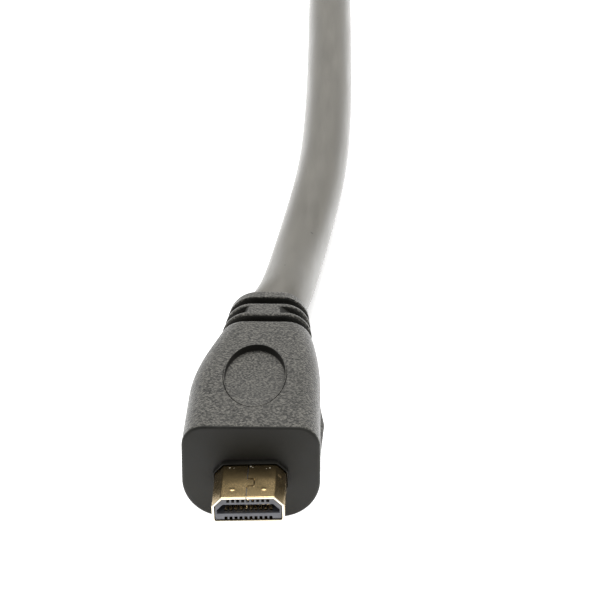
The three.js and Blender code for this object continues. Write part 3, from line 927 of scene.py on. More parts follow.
@dataclass
class Moulding:
    """Soft moulding: a rounded body, a neck and a ribbed relief, in millimetres."""

    name: str
    place: Matrix
    width: float
    height: float
    length: float
    top_radius: float
    bottom_radius: float
    face_round: float
    end_round: float
    side_draft: float
    shoulder_start: float
    shoulder_power: float
    neck_width: float
    neck_bottom: float
    neck_top: float
    neck_radius: float
    relief_length: float
    end_width: float
    end_bottom: float
    end_top: float
    end_radius: float
    bend: float
    bend_start: float
    bend_end: float
    gap_pitch: float
    gap_width: float
    gap_depth: float
    gap_side_depth: float
    gap_count: int
    side_bridge: float
    top_bridge: float
    top_bridge_shift: float
    cable_radius: float
    rib_round: float = 0.26
    last_rib_round: float = 0.08
    ring_spacing: float = 0.3
    gap_lead: float = 0.1
    end_steps: int = 8
    bore_edge: float = 0.06
    bore_depth: float = 1.4
    least_sink: float = 0.05

    def section(self, y: float) -> Section:
        """Section at a distance behind the face.

        Args:
            y: The distance.

        Returns:
            The section.
        """
        along = (y - self.shoulder_start) / (self.length - self.shoulder_start)
        along = min(max(along, 0.0), 1.0)
        shoulder = 1 - math.cos(along**self.shoulder_power * math.pi / 2)
        relief = max(0.0, (y - self.length) / self.relief_length)
        draft = self.side_draft * min(y, self.length)

        def follow(face: float, neck: float, end: float) -> float:
            """Runs a size from the face over the neck to the relief's end."""
            return mix(mix(face, neck, shoulder), end, relief)

        return Section(
            self.bend * ease(y, self.bend_start, self.bend_end),
            follow(self.width - draft, self.neck_width, self.end_width),
            follow(0, self.neck_bottom, self.end_bottom),
            follow(self.height, self.neck_top, self.end_top),
            follow(self.top_radius, self.neck_radius, self.end_radius),
            follow(self.bottom_radius, self.neck_radius, self.end_radius),
        )

    def gaps(self) -> list[RibGap]:
        """Works out the gaps of the relief.

        Returns:
            The gaps.
        """
        gaps = []
        for i in range(self.gap_count):
            start = self.length + i * self.gap_pitch
            gaps.append(
                RibGap(
                    start,
                    start + self.gap_width,
                    self.gap_depth,
                    self.gap_side_depth,
                    i % 2 == 0,
                    self.side_bridge,
                    self.top_bridge,
                    self.top_bridge_shift,
                    self.rib_round if i < self.gap_count - 1 else self.last_rib_round,
                )
            )
        return gaps

    def raised(self, x: float, y: float, z: float) -> tuple[float, float]:
        """Adds fine relief to a point of the outside, here none."""
        return x, z

    def rings(self) -> tuple[list[Ring], list[Region | list[Region]]]:
        """Builds the rings from face to relief and the region of each band or face.

        Returns:
            The rings and the regions.
        """
        rings: list[Ring] = []
        regions: list[Region | list[Region]] = []

        def add(ring: Ring, region: Region | list[Region]) -> None:
            """Adds a ring.

            Args:
                ring: The ring.
                region: Region of the band before it, or of each of the band's faces.
            """
            if rings:
                regions.append(region)
            rings.append(ring)

        for i in range(ROUND_STEPS + 1):
            angle = i / ROUND_STEPS * math.pi / 2
            y = self.face_round * (1 - math.cos(angle))
            inset = self.face_round * (1 - math.sin(angle))
            region = Region.SMOOTH if i < ROUND_STEPS - 1 else Region.GRAIN
            add(upright(self.section(0).loop(inset), y), region)
        steps = round(self.length / self.ring_spacing)
        last = self.length - self.gap_lead
        for i in range(1, steps):
            y = mix(self.face_round, last, i / steps)
            loop = [self.raised(x, y, z) for x, z in self.section(y).loop()]
            add(upright(loop, y), Region.GRAIN)
        for gap in self.gaps():
            cut_section = self.section(gap.start)
            for y, share in gap.profile():
                if y <= last:
                    continue
                plain = self.section(y).loop()
                loop = [
                    gap.sunk(cut_section, x, z, share) if share > 0 else (x, z) for x, z in plain
                ]
                cut = gap.start < y <= gap.end + gap.round_over * 0.5
                moved = [cut and math.dist(a, b) > self.least_sink for a, b in zip(plain, loop)]
                # Faces sunk into a gap take the dark polished slot, which paints shade into the
                # gap.
                band = [
                    Region.SMOOTH if moved[i] or moved[i - len(moved) + 1] else Region.GRAIN
                    for i in range(len(moved))
                ]
                add(upright(loop, y), band)
                last = y
        end = self.length + self.relief_length
        for i in range(1, self.end_steps):
            y = mix(last, end - self.end_round, i / self.end_steps)
            add(upright(self.section(y).loop(), y), Region.GRAIN)
        for i in range(ROUND_STEPS + 1):
            angle = i / ROUND_STEPS * math.pi / 2
            y = end - self.end_round * (1 - math.sin(angle))
            inset = self.end_round * (1 - math.cos(angle))
            add(upright(self.section(y).loop(inset), y), Region.GRAIN)
        # The bore round the cable takes the dark polished slot: painted shade inside it.
        for depth, spare in ((0.0, self.bore_edge), (self.bore_edge, 0.0), (self.bore_depth, 0.0)):
            add(self.bore_ring(end - depth, spare), Region.SMOOTH)
        return rings, regions

    def bore_ring(self, y: float, spare: float) -> Ring:
        """Ring round the cable at the relief's end.

        Args:
            y: Distance behind the face.
            spare: Room round the cable.

        Returns:
            The ring.
        """
        section = self.section(self.length + self.relief_length)
        radius = self.cable_radius + spare
        ring = []
        for x, z in section.loop():
            across, up = x - section.centre, z - section.middle()
            size = math.hypot(across, up)
            point = (section.centre + across / size * radius, section.middle() + up / size * radius)
            ring.append(Vector((point[0], y, point[1])))
        return ring

    def cutters(self) -> list[bpy.types.Mesh]:
        """Returns what is cut out of the moulding, here nothing."""
        return []

    def additions(self) -> list[bpy.types.Mesh]:
        """Returns what the moulding has beside its body, here nothing."""
        return []

    def build(self) -> bpy.types.Object:
        """Builds the finished moulding.

        Returns:
            The piece.
        """
        rings, regions = self.rings()
        materials = [GRAIN.material(), POLISHED_AND_SHADE.material()]
        body = carved(lofted(rings, self.place, regions), self.cutters(), materials)
        mesh = joined([body, *self.additions()])
        return new_piece(self.name + "_skin", mesh, materials, [self.name])


@dataclass
class ShellOutline:
    """Outline of the plug's sheet metal shell, in millimetres."""

    width: float = 5.83
    height: float = 2.3
    chamfer: float = 0.75
    bottom_radius: float = 0.35
    bend_radius: float = 0.24
    wall: float = 0.2
    least_radius: float = 0.06
    axis_height: float = 4.05
    tilt: float = -1.9
    corner_steps: int = 6
    edge_steps: tuple[int, ...] = (12, 8, 72, 8, 12, 40)

    def place(self) -> Matrix:
        """Returns the matrix from millimetres round the shell's axis to the model's metres."""
        turn = Matrix.Rotation(math.radians(self.tilt), 4, "Y")
        return plug_place() @ Matrix.Translation((0, 0, self.axis_height)) @ turn

    def loop(self, offset: float = 0.0) -> Loop:
        """Outline at a distance outside the shell's outer surface.

        Args:
            offset: The distance, below zero inside.

        Returns:
            The outline's points.
        """
        half = self.width / 2 + offset
        low = -self.height / 2 - offset
        high = self.height / 2 + offset
        chamfer = self.chamfer + offset * (2 - math.sqrt(2))
        corners = [
            (half, low),
            (half, high - chamfer),
            (half - chamfer, high),
            (chamfer - half, high),
            (-half, high - chamfer),
            (-half, low),
        ]
        bottom = max(self.bottom_radius + offset, self.least_radius)
        bend = max(self.bend_radius + offset, self.least_radius)
        radii = [bottom, bend, bend, bend, bend, bottom]
        return rounded_loop(corners, radii, self.corner_steps, self.edge_steps)


@dataclass
class PlugMoulding(Moulding):
    """The plug's moulding with its finger recess, shell pocket, lip and flash."""

    outline: ShellOutline = field(default_factory=ShellOutline)
    recess_centre: float = 9.3
    recess_width: float = 5.1
    recess_length: float = 11.4
    recess_front_depth: float = 0.1
    recess_back_depth: float = 0.75
    recess_foot: float = 0.12
    recess_rim: float = 0.05
    recess_round_share: float = 0.35
    recess_sides: int = 144
    recess_spare: float = 0.5
    witness_offset: float = 0.13
    witness_half: float = 0.06
    witness_depth: float = 0.09
    witness_run_out: float = 0.03
    witness_clear: float = 0.04
    witness_fade: tuple[float, float] = (-0.1, 0.5)
    pocket_gap: float = 0.03
    pocket_front: float = -1.5
    pocket_depth: float = 2.0
    parting_height: float = 4.15
    parting_ridge: float = 0.025
    parting_from: float = 2.0
    flash_start: float = 3.0
    flash_peak: float = 8.4
    flash_end: float = 11.8
    flash_reach: float = 0.32
    flash_half: float = 0.22

    def flash(self, y: float) -> float:
        """How far the flash stands out.

        Args:
            y: Distance behind the face.

        Returns:
            The reach in millimetres.
        """
        if y < self.flash_start or y > self.flash_end:
            return 0.0
        if y < self.flash_peak:
            return self.flash_reach * (y - self.flash_start) / (self.flash_peak - self.flash_start)
        return self.flash_reach * (self.flash_end - y) / (self.flash_end - self.flash_peak)

    def raised(self, x: float, y: float, z: float) -> tuple[float, float]:
        """Adds the parting line's ridge and the flash on the right.

        Args:
            x: The point's place across.
            y: Distance behind the face.
            z: The point's height.

        Returns:
            The moved point.
        """
        near = max(0.0, 1 - abs(z - self.parting_height) / self.flash_half)
        if near == 0 or abs(x) < self.parting_from:
            return x, z
        reach = self.parting_ridge
        if x > 0:
            reach += self.flash(y)
        return x + math.copysign(reach * near, x), z

    def recess_floor(self, y: float) -> float:
        """Height of the recess floor, which falls away towards the back.

        Args:
            y: Distance behind the face.

        Returns:
            The height.
        """
        along = (y - self.recess_centre) / self.recess_length + 0.5
        return self.height - mix(self.recess_front_depth, self.recess_back_depth, along)

    def turns(self) -> list[float]:
        """Returns the angles round the recess at which its outline has points."""
        return [2 * math.pi * i / self.recess_sides for i in range(self.recess_sides)]

    def oval(self, turn: float, grow: float = 0.0) -> tuple[float, float]:
        """Point on the recess's outline.

        Args:
            turn: Angle round it.
            grow: How far outside it.

        Returns:
            The place across and the distance behind the face.
        """
        across = (self.recess_width / 2 + grow) * math.cos(turn)
        along = self.recess_centre + (self.recess_length / 2 + grow) * math.sin(turn)
        return across, along

    def recess_ring(self, angle: float, level: RecessLevel) -> Ring:
        """One ring of the recess cutter.

        Args:
            angle: Angle on the round of its foot or rim.
            level: What it belongs to.

        Returns:
            The ring.
        """
        ring = []
        for turn in self.turns():
            y = self.oval(turn)[1]
            floor = self.recess_floor(y)
            top = self.section(y).top
            most = (top - floor) * self.recess_round_share
            foot = min(self.recess_foot, most)
            rim = min(self.recess_rim, most)
            if level is RecessLevel.FOOT:
                grow, z = -foot * (1 - math.sin(angle)), floor + foot * (1 - math.cos(angle))
            elif level is RecessLevel.RIM:
                grow, z = rim * (1 - math.cos(angle)), top - rim * (1 - math.sin(angle))
            else:
                grow, z = rim + self.recess_spare, top + PAST
            ring.append(Vector((*self.oval(turn, grow), z)))
        return ring

    def recess_cutter(self) -> bpy.types.Mesh:
        """Builds the cutter of the oval finger recess with its rounded foot and rim.

        Returns:
            The mesh.
        """
        rings = [self.recess_ring(a, RecessLevel.FOOT) for a in ROUND_ANGLES]
        rings += [self.recess_ring(a, RecessLevel.RIM) for a in ROUND_ANGLES[:-1]]
        rings.append(self.recess_ring(0.0, RecessLevel.ABOVE))
        # The recess's foot, wall and rim take the dark polished slot: painted shade on the recess
        # wall.
        regions = [Region.GRAIN] * 2 + [Region.SMOOTH] * (len(rings) - 3)
        return lofted(rings, self.place, regions)

    def witness_cutter(self) -> bpy.types.Mesh:
        """Builds the cutter of the fine line that the tool's insert leaves round the front.

        Returns:
            The mesh.
        """
        rings = []
        for side in (-1, 0, 1):
            grow = self.witness_offset + side * self.witness_half
            ring = []
            for turn in self.turns():
                x, y = self.oval(turn, grow)
                fade = 1 - ease(math.sin(turn), *self.witness_fade)
                sink = -self.witness_clear
                if side == 0:
                    sink = mix(-self.witness_run_out, self.witness_depth, fade)
                ring.append(Vector((x, y, self.section(y).top - sink)))
            rings.append(ring)
        # The fine groove is lined with the dark polished slot: painted shade in the groove.
        return lofted(rings, self.place, [Region.SMOOTH] * 3, closed=True)

    def pocket_cutter(self) -> bpy.types.Mesh:
        """Builds the cutter of the pocket that the shell stands in.

        Returns:
            The mesh.
        """
        loop = self.outline.loop(self.pocket_gap)
        rings = [upright(loop, y) for y in (self.pocket_front, self.pocket_depth)]
        # The pocket's walls take the dark polished slot: painted shade round the shell.
        return lofted(rings, self.outline.place(), [Region.SMOOTH])

    def cutters(self) -> list[bpy.types.Mesh]:
        """Returns the recess, its witness line and the shell's pocket."""
        return [self.recess_cutter(), self.witness_cutter(), self.pocket_cutter()]

    def additions(self) -> list[bpy.types.Mesh]:
        """Returns the lip on the shell."""
        return [PlugLip(self.outline).mesh()]


@dataclass
class PlugLip:
    """Thin lip of the moulding that runs out on the shell, in millimetres."""

    outline: ShellOutline
    reach: float = 0.5
    thickness: float = 0.17
    gap: float = 0.075
    edge: float = 0.04
    root: float = 0.4

    def mesh(self) -> bpy.types.Mesh:
        """Builds the lip's mesh.

        Returns:
            The mesh.
        """
        outer = self.thickness
        r = self.edge
        profile = [
            (self.root, outer),
            (r - self.reach + 0.05, outer),
            (r * 0.4 - self.reach, outer - r * 0.25),
            (-self.reach, outer - r),
            (-self.reach, self.gap + 0.02),
            (0.02 - self.reach, self.gap),
            (self.root, self.gap),
        ]
        rings = [upright(self.outline.loop(grow), y) for y, grow in profile]
        regions = [Region.SMOOTH] * len(profile)
        return lofted(rings, self.outline.place(), regions, closed=True)


@dataclass
class PlugShell:
    """Gold plated shell of the plug, rolled from one strip, in millimetres."""

    outline: ShellOutline
    reach: float = 5.7
    embed: float = 1.8
    root: float = 0.5
    rim_round: float = 0.07
    rim_depth: float = 1.2
    seam_width: float = 0.075
    seam_step: float = 0.13
    seam_x: float = -0.12
    seam_jog: float = 0.56
    seam_jog_start: float = 1.85
    seam_jog_length: float = 1.15
    bump_spacing: float = 2.56
    bump_setback: float = 1.33
    bump_radius: float = 0.25
    bump_height: float = 0.025
    bump_flat: float = 0.45
    top_share: float = 0.9
    fine_steps: int = 70
    spare: float = 0.5

    def raised(self, point: Vector) -> Vector:
        """Lifts a point of the top where one of the two bumps stands.

        Args:
            point: The point.

        Returns:
            The lifted point.
        """
        if point.z < self.top_share * self.outline.height / 2:
            return point
        y = self.bump_setback - self.reach
        for side in (-1, 1):
            x = side * self.bump_spacing / 2
            away = math.hypot(point.x - x, point.y - y) / self.bump_radius
            if away < 1:
                lift = self.bump_height * (1 - ease(away, self.bump_flat, 1.0))
                return point + Vector((0, 0, lift))
        return point

    def rings(self) -> tuple[list[Ring], list[Region]]:
        """Builds the rings of the outside, the rim and the inside, and the band regions.

        Returns:
            The rings and the regions.
        """
        r = self.rim_round
        wall = self.outline.wall
        front = -self.reach
        outside = [(self.embed, 0.0), (self.root, 0.0), (0.0, 0.0)]
        for i in range(1, self.fine_steps + 1):
            outside.append((mix(0.0, front + r, i / self.fine_steps), 0.0))
        rim = []
        for a in (0.5, 1.0, math.pi / 2):
            rim.append((front + r * (1 - math.sin(a)), -r * (1 - math.cos(a))))
        for a in (0.0, 0.6, 1.1):
            rim.append((front + r * (1 - math.cos(a)), r - wall - r * math.sin(a)))
        inside = [(y, -wall) for y in (front + r, front + self.rim_depth, 0.0, self.embed)]
        rings = []
        for y, grow in outside + rim + inside:
            rings.append([self.raised(point) for point in upright(self.outline.loop(grow), y)])
        # The rim's bands take the second slot: pale cut-edge metal with a painted highlight.
        regions = [Region.GRAIN] * len(outside) + [Region.SMOOTH] * (len(rim) - 1)
        regions += [Region.GRAIN] * (len(inside) + 1)
        return rings, regions

    def seam_cutter(self) -> bpy.types.Mesh:
        """Builds the cutter of the joint between the strip's ends.

        Returns:
            The mesh.
        """
        half = self.seam_width / 2
        front = -self.reach - self.spare
        back = self.embed + self.spare
        jog_front = self.seam_jog_start - self.reach
        jog_back = jog_front + self.seam_jog_length
        jog_x = self.seam_x + self.seam_jog
        left = self.seam_x - half
        right = self.seam_x + half
        step = self.seam_step / 2
        loop = [
            (left, front),
            (right, front),
            (right, jog_front - step),
            (jog_x + half, jog_front - step),
            (jog_x + half, jog_back + step),
            (right, jog_back + step),
            (right, back),
            (left, back),
            (left, jog_back - step),
            (jog_x - half, jog_back - step),
            (jog_x - half, jog_front + step),
            (left, jog_front + step),
        ]
        place = self.outline.place()
        low = self.outline.height / 2 - PAST
        high = self.outline.height / 2 + PAST
        return extruded(loop, lambda x, y, z: place @ Vector((x, y, z)), low, high)

    def build(self) -> bpy.types.Object:
        """Builds the shell.

        Returns:
            The piece.
        """
        rings, regions = self.rings()
        materials = [GOLD.material(), CUT_EDGE_AND_HIGHLIGHT.material()]
        body = lofted(rings, self.outline.place(), regions, closed=True)
        mesh = carved(body, [self.seam_cutter()], materials)
        return new_piece("plug_shell_skin", mesh, materials, ["plug_shell"])


@dataclass
class PlugInsert:
    """Moulded insert inside the shell with its mouth and contact slots, in millimetres."""

    outline: ShellOutline
    front: float = -5.58
    back: float = 3.0
    clearance: float = 0.03
    floor_width: float = 5.02
    roof_width: float = 4.05
    mouth_top: float = 0.41
    mouth_bottom: float = -0.35
    mouth_depth: float = 4.4
    mouth_edge: float = 0.05
    mouth_radius: float = 0.04
    pitch: float = 0.4
    slot_width: float = 0.25
    lower_count: int = 10
    upper_count: int = 9
    lower_roof: float = -0.65
    upper_floor: float = 0.62
    window_start: float = 0.4
    window_end: float = 2.7
    window_clear: float = 0.06

    def mouth_loop(self, grow: float) -> Loop:
        """Outline of the mouth.

        Args:
            grow: How far outside the mouth's wall it runs.

        Returns:
            The outline's points.
        """
        floor = self.floor_width / 2 + grow
        roof = self.roof_width / 2 + grow * 0.6
        top = self.mouth_top + grow
        low = self.mouth_bottom - grow
        shoulder = self.mouth_top - (self.floor_width - self.roof_width) / 2
        corners = [
            (floor, low),
            (floor, shoulder),
            (roof, top),
            (-roof, top),
            (-floor, shoulder),
            (-floor, low),
        ]
        return rounded_loop(corners, [self.mouth_radius] * 6, 4, [2, 2, 20, 2, 2, 24])

    def mouth_cutter(self) -> bpy.types.Mesh:
        """Builds the cutter of the mouth with its broken edge.

        Returns:
            The mesh.
        """
        e = self.mouth_edge
        profile = [(-PAST, e + PAST), (0.0, e), (e * 0.4, e * 0.4), (e, 0.0)]
        profile += [(self.mouth_depth - e, 0.0), (self.mouth_depth, -e)]
        rings = [upright(self.mouth_loop(grow), self.front + y) for y, grow in profile]
        return lofted(rings, self.outline.place())

    def slot_cutter(self, x: float, level: float, outside: float, mouth: float) -> bpy.types.Mesh:
        """Cutter of one contact slot with its window into the mouth.

        Args:
            x: Place of the slot across.
            level: Height of its inner wall.
            outside: A height beyond the insert's surface.
            mouth: Height of the mouth's wall.

        Returns:
            The cutter.
        """
        first = self.front - 1
        last = self.back + 1
        inner = mouth + math.copysign(self.window_clear, mouth - level)
        loop = [
            (first, outside),
            (last, outside),
            (last, level),
            (self.front + self.window_end, level),
            (self.front + self.window_end, inner),
            (self.front + self.window_start, inner),
            (self.front + self.window_start, level),
            (first, level),
        ]
        place = self.outline.place()
        half = self.slot_width / 2
        return extruded(loop, lambda y, z, at: place @ Vector((at, y, z)), x - half, x + half)

    def slots(self) -> bpy.types.Mesh:
        """Builds the cutters of both rows of slots.

        Returns:
            The mesh.
        """
        rows = (
            (self.lower_count, self.lower_roof, -self.outline.height, self.mouth_bottom),
            (self.upper_count, self.upper_floor, self.outline.height, self.mouth_top),
        )
        cutters = []
        for count, level, outside, mouth in rows:
            for i in range(count):
                x = (i - (count - 1) / 2) * self.pitch
                cutters.append(self.slot_cutter(x, level, outside, mouth))
        return joined(cutters)

    def build(self) -> bpy.types.Object:
        """Builds the insert.

        Returns:
            The piece.
        """
        grow = -self.outline.wall - self.clearance
        profile = [(0.0, grow - 0.05), (0.015, grow - 0.015), (0.05, grow)]
        profile.append((self.back - self.front, grow))
        rings = [upright(self.outline.loop(inset), self.front + y) for y, inset in profile]
        body = lofted(rings, self.outline.place())
        mesh = carved(body, [self.mouth_cutter(), self.slots()])
        material = INSERT_GREY.material()
        return new_piece("plug_insert", mesh, [material], ["plug_insulator"])


@dataclass
class Cable:
    """Round cable from relief to relief, in millimetres of the plug's drawing."""

    radius: float = CABLE_RADIUS
    axis: float = 2.52
    sides: int = 48
    into_relief: float = 1.1

    def route(self) -> list[Vector]:
        """Works out the chosen route from the plug's relief to the housing's.

        Returns:
            The points.
        """
        points = [
            (0.55, 27.8, 4.45),
            (0.67, 28.7, 4.45),
            (1.22, 31, 4.3),
            (1.72, 34, 3.92),
            (2.12, 38, 3.38),
            (2.5, 42.5, 2.9),
            (2.9, 47, 2.62),
            (3.38, 52, self.axis),
            (4.02, 58.7, self.axis),
            (4.55, 65.5, self.axis),
            (4.9, 73, self.axis),
            (5.05, 82, self.axis),
            (5.06, 92, self.axis),
            (4.96, 103, self.axis),
            (4.8, 115, self.axis),
            (4.6, 127, self.axis),
            (4.38, 138, self.axis + 0.06),
            (4.18, 148, 3.05),
            (4.06, 156, 4.15),
            (4, 163, 5.5),
            (4, 169, 6.75),
            (4, 174, 7.5),
            (4, 178, 7.75),
        ]
        return [Vector(p) for p in points]

    def line(self, steps: int = 8) -> list[Vector]:
        """Smooth line through the route, also into both reliefs.

        Args:
            steps: Steps between two route points.

        Returns:
            The line's points.
        """
        route = self.route()
        first = route[0] - (route[1] - route[0]).normalized() * self.into_relief
        last = route[-1] + (route[-1] - route[-2]).normalized() * self.into_relief
        points = [first, *route, last]
        line = []
        for i in range(len(points) - 1):
            before = points[max(i - 1, 0)]
            a, b = points[i], points[i + 1]
            after = points[min(i + 2, len(points) - 1)]
            for k in range(steps):
                t = k / steps
                line.append(self.between(before, a, b, after, t))
        line.append(points[-1])
        return line

    def between(self, before: Vector, a: Vector, b: Vector, after: Vector, t: float) -> Vector:
        """Point on a smooth curve through four points.

        Args:
            before: The point before the stretch.
            a: Its start.
            b: Its end.
            after: The point behind it.
            t: Share of the way from a to b.

        Returns:
            The point.
        """
        span = (b - a).length
        into = (b - before) * (span / max((a - before).length + span, 1e-6))
        out = (after - a) * (span / max((after - b).length + span, 1e-6))
        t2, t3 = t * t, t * t * t
        return (
            a * (2 * t3 - 3 * t2 + 1)
            + into * (t3 - 2 * t2 + t)
            + b * (3 * t2 - 2 * t3)
            + out * (t3 - t2)
        )

    def build(self) -> bpy.types.Object:
        """Builds the cable.

        Returns:
            The piece.
        """
        line = self.line()
        place = plug_place()
        rings = []
        for i, point in enumerate(line):
            along = (line[min(i + 1, len(line) - 1)] - line[max(i - 1, 0)]).normalized()
            across = along.cross(Vector((0, 0, 1))).normalized()
            up = across.cross(along)
            ring = []
            for k in range(self.sides):
                angle = 2 * math.pi * k / self.sides
                ring.append(
                    point + (across * math.cos(angle) + up * math.sin(angle)) * self.radius
                )
            rings.append(ring)
        mesh = lofted(rings, place)
        piece = new_piece("cable_jacket", mesh, [JACKET.material()], ["cable"])
        return piece


@dataclass
class PlugEnd:
    """The micro video plug with its moulding."""

    cable_radius: float = CABLE_RADIUS
    outline: ShellOutline = field(default_factory=ShellOutline)

    def moulding(self) -> PlugMoulding:
        """Builds the plug's moulding.

        Returns:
            The moulding.
        """
        return PlugMoulding(
            name="plug_overmould",
            place=plug_place(),
            width=11.35,
            height=8.5,
            length=19.9,
            top_radius=1.9,
            bottom_radius=3.4,
            face_round=0.3,
            end_round=0.3,
            side_draft=0.032,
            shoulder_start=8,
            shoulder_power=1.1,
            neck_width=8.25,
            neck_bottom=0.4,
            neck_top=8.2,
            neck_radius=2.25,
            relief_length=7.6,
            end_width=7.15,
            end_bottom=1.4,
            end_top=7.5,
            end_radius=2.6,
            bend=0.55,
            bend_start=8,
            bend_end=22,
            gap_pitch=2.2,
            gap_width=1.6,
            gap_depth=0.85,
            gap_side_depth=0.35,
            gap_count=3,
            side_bridge=0.7,
            top_bridge=2.0,
            top_bridge_shift=-0.5,
            cable_radius=self.cable_radius,
            outline=self.outline,
        )

    def build(self, nodes: dict[str, bpy.types.Object]) -> None:
        """Builds the plug's pieces and dresses its insert and contacts.

        Args:
            nodes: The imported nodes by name.
        """
        self.moulding().build()
        PlugShell(self.outline).build()
        PlugInsert(self.outline).build()
        gold = CONTACT_GOLD.material()
        for name, node in nodes.items():
            if name.startswith(("contact_lower_", "contact_upper_")):
                dress(node, gold)


@dataclass
class SocketOutline:
    """D-shaped outline of the socket's shell, in millimetres."""

    width: float = 16.33
    height: float = 7.9
    radius: float = 2.1
    lean: float = 10.0
    trim: float = 0.35

    def loop(self, offset: float = 0.0) -> Loop:
        """Outline at a distance outside the shell.

        Args:
            offset: The distance, below zero inside.

        Returns:
            The outline's points.
        """
        slope = math.radians(self.lean)
        half = self.height / 2 + offset
        shift = math.tan(slope) * half
        middle = self.width / 2 + offset / math.cos(slope) - self.trim
        corners = [
            (middle + shift, half),
            (-middle - shift, half),
            (shift - middle, -half),
            (middle - shift, -half),
        ]
        radii = [self.radius + offset] * 4
        return rounded_loop(corners, radii, SOCKET_CORNER_STEPS, SOCKET_EDGE_STEPS)


# Steps round each corner and along each edge of the socket's outlines, alike in all of them.
SOCKET_CORNER_STEPS = 14
SOCKET_EDGE_STEPS = (22, 10, 22, 10)


def plate_loop(width: float, height: float, radius: float) -> Loop:
    """Outline of a plate with rounded corners, its points matched to the socket's outline.

    Args:
        width: Its width.
        height: Its height.
        radius: Radius of its corners.

    Returns:
        The outline's points.
    """
    corners = [
        (width / 2, height / 2),
        (-width / 2, height / 2),
        (-width / 2, -height / 2),
        (width / 2, -height / 2),
    ]
    return rounded_loop(corners, [radius] * 4, SOCKET_CORNER_STEPS, SOCKET_EDGE_STEPS)


@dataclass
class SocketHousing(Moulding):
    """The socket's moulding with the pockets for flange and insert, in millimetres."""

    outline: SocketOutline = field(default_factory=SocketOutline)
    pocket_width: float = 31.01
    pocket_height: float = 12.75
    pocket_radius: float = FLANGE_RADIUS
    pocket_depth: float = 0.9
    well_offset: float = 1.3
    well_depth: float = 6.46
    hole_spacing: float = SCREW_SPACING
    hole_radius: float = SCREW_HOLE_RADIUS
    hole_depth: float = 5.1
    hole_sides: int = 48

    def cutters(self) -> list[bpy.types.Mesh]:
        """Builds the flange pocket, the insert's well and the two screw holes.

        Returns:
            The meshes.
        """
        place = housing_place(self.height / 2)
        plate = plate_loop(self.pocket_width, self.pocket_height, self.pocket_radius)
        well = self.outline.loop(self.well_offset)
        tools = []
        # Pocket, well and screw holes take the dark polished slot: painted shade on their walls.
        for loop, depth in ((plate, self.pocket_depth), (well, self.well_depth)):
            tools.append(lofted([upright(loop, -1), upright(loop, depth)], place, [Region.SMOOTH]))
        for side in Side:
            x = side.value * self.hole_spacing / 2
            levels = (self.pocket_depth / 2, self.hole_depth)
            rings = [circle(self.hole_radius, x, 0, y, self.hole_sides) for y in levels]
            tools.append(lofted(rings, place, [Region.SMOOTH]))
        return tools


@dataclass
class SocketShell:
    """Pressed shell and flange of the socket, in millimetres."""

    outline: SocketOutline
    height: float
    wall: float = 0.4
    reach: float = 5.9
    rim: float = 0.12
    root: float = 0.5
    flange_width: float = 30.81
    flange_height: float = 12.55
    flange_thickness: float = 0.8
    flange_radius: float = FLANGE_RADIUS
    flange_edge: float = 0.18
    hole_spacing: float = SCREW_SPACING
    hole_radius: float = SCREW_HOLE_RADIUS
    hole_edge: float = 0.12
    hole_sides: int = 64

    def rings(self) -> list[Ring]:
        """Builds the rings from the rim over the flange and back inside the tube.

        Returns:
            The rings.
        """
        rings = []
        front = -self.reach
        for a in ROUND_ANGLES:
            grow = self.rim * (math.sin(a) - 1)
            rings.append(upright(self.outline.loop(grow), front + self.rim * (1 - math.cos(a))))
        for a in ROUND_ANGLES:
            grow = self.root * (1 - math.cos(a))
            rings.append(upright(self.outline.loop(grow), -self.root * (1 - math.sin(a))))
        edge = self.flange_edge
        plate = [(-edge, 0.0), (-edge * 0.3, edge * 0.3), (0.0, edge)]
        back = self.flange_thickness
        plate += [(0.0, back - edge), (-edge * 0.3, back - edge * 0.3), (-edge, back)]
        for grow, y in plate:
            width = self.flange_width + 2 * grow
            height = self.flange_height + 2 * grow
            rings.append(upright(plate_loop(width, height, self.flange_radius + grow), y))
        for a in reversed(ROUND_ANGLES):
            grow = self.root * (1 - math.cos(a)) - self.wall
            rings.append(upright(self.outline.loop(grow), back - self.root * (1 - math.sin(a))))
        for a in reversed(ROUND_ANGLES[1:]):
            grow = -self.wall + self.rim * (1 - math.sin(a))
            rings.append(upright(self.outline.loop(grow), front + self.rim * (1 - math.cos(a))))
        return rings

    def hole_cutter(self, side: Side) -> bpy.types.Mesh:
        """Cutter of a screw hole with its broken edge.

        Args:
            side: The hole's side.

        Returns:
            The cutter.
        """
        x = side.value * self.hole_spacing / 2
        edge = self.hole_edge
        back = self.flange_thickness + PAST
        profile = [(-PAST, edge + PAST), (0.0, edge), (edge, 0.0), (back, 0.0)]
        rings = [
            circle(self.hole_radius + grow, x, 0, y, self.hole_sides) for y, grow in profile
        ]
        return lofted(rings, housing_place(self.height))

    def build(self) -> bpy.types.Object:
        """Builds the shell.

        Returns:
            The piece.
        """
        body = lofted(self.rings(), housing_place(self.height), closed=True)
        mesh = carved(body, [self.hole_cutter(side) for side in Side])
        return new_piece("vga_shell_skin", mesh, [NICKEL.material()], ["vga_shell"])


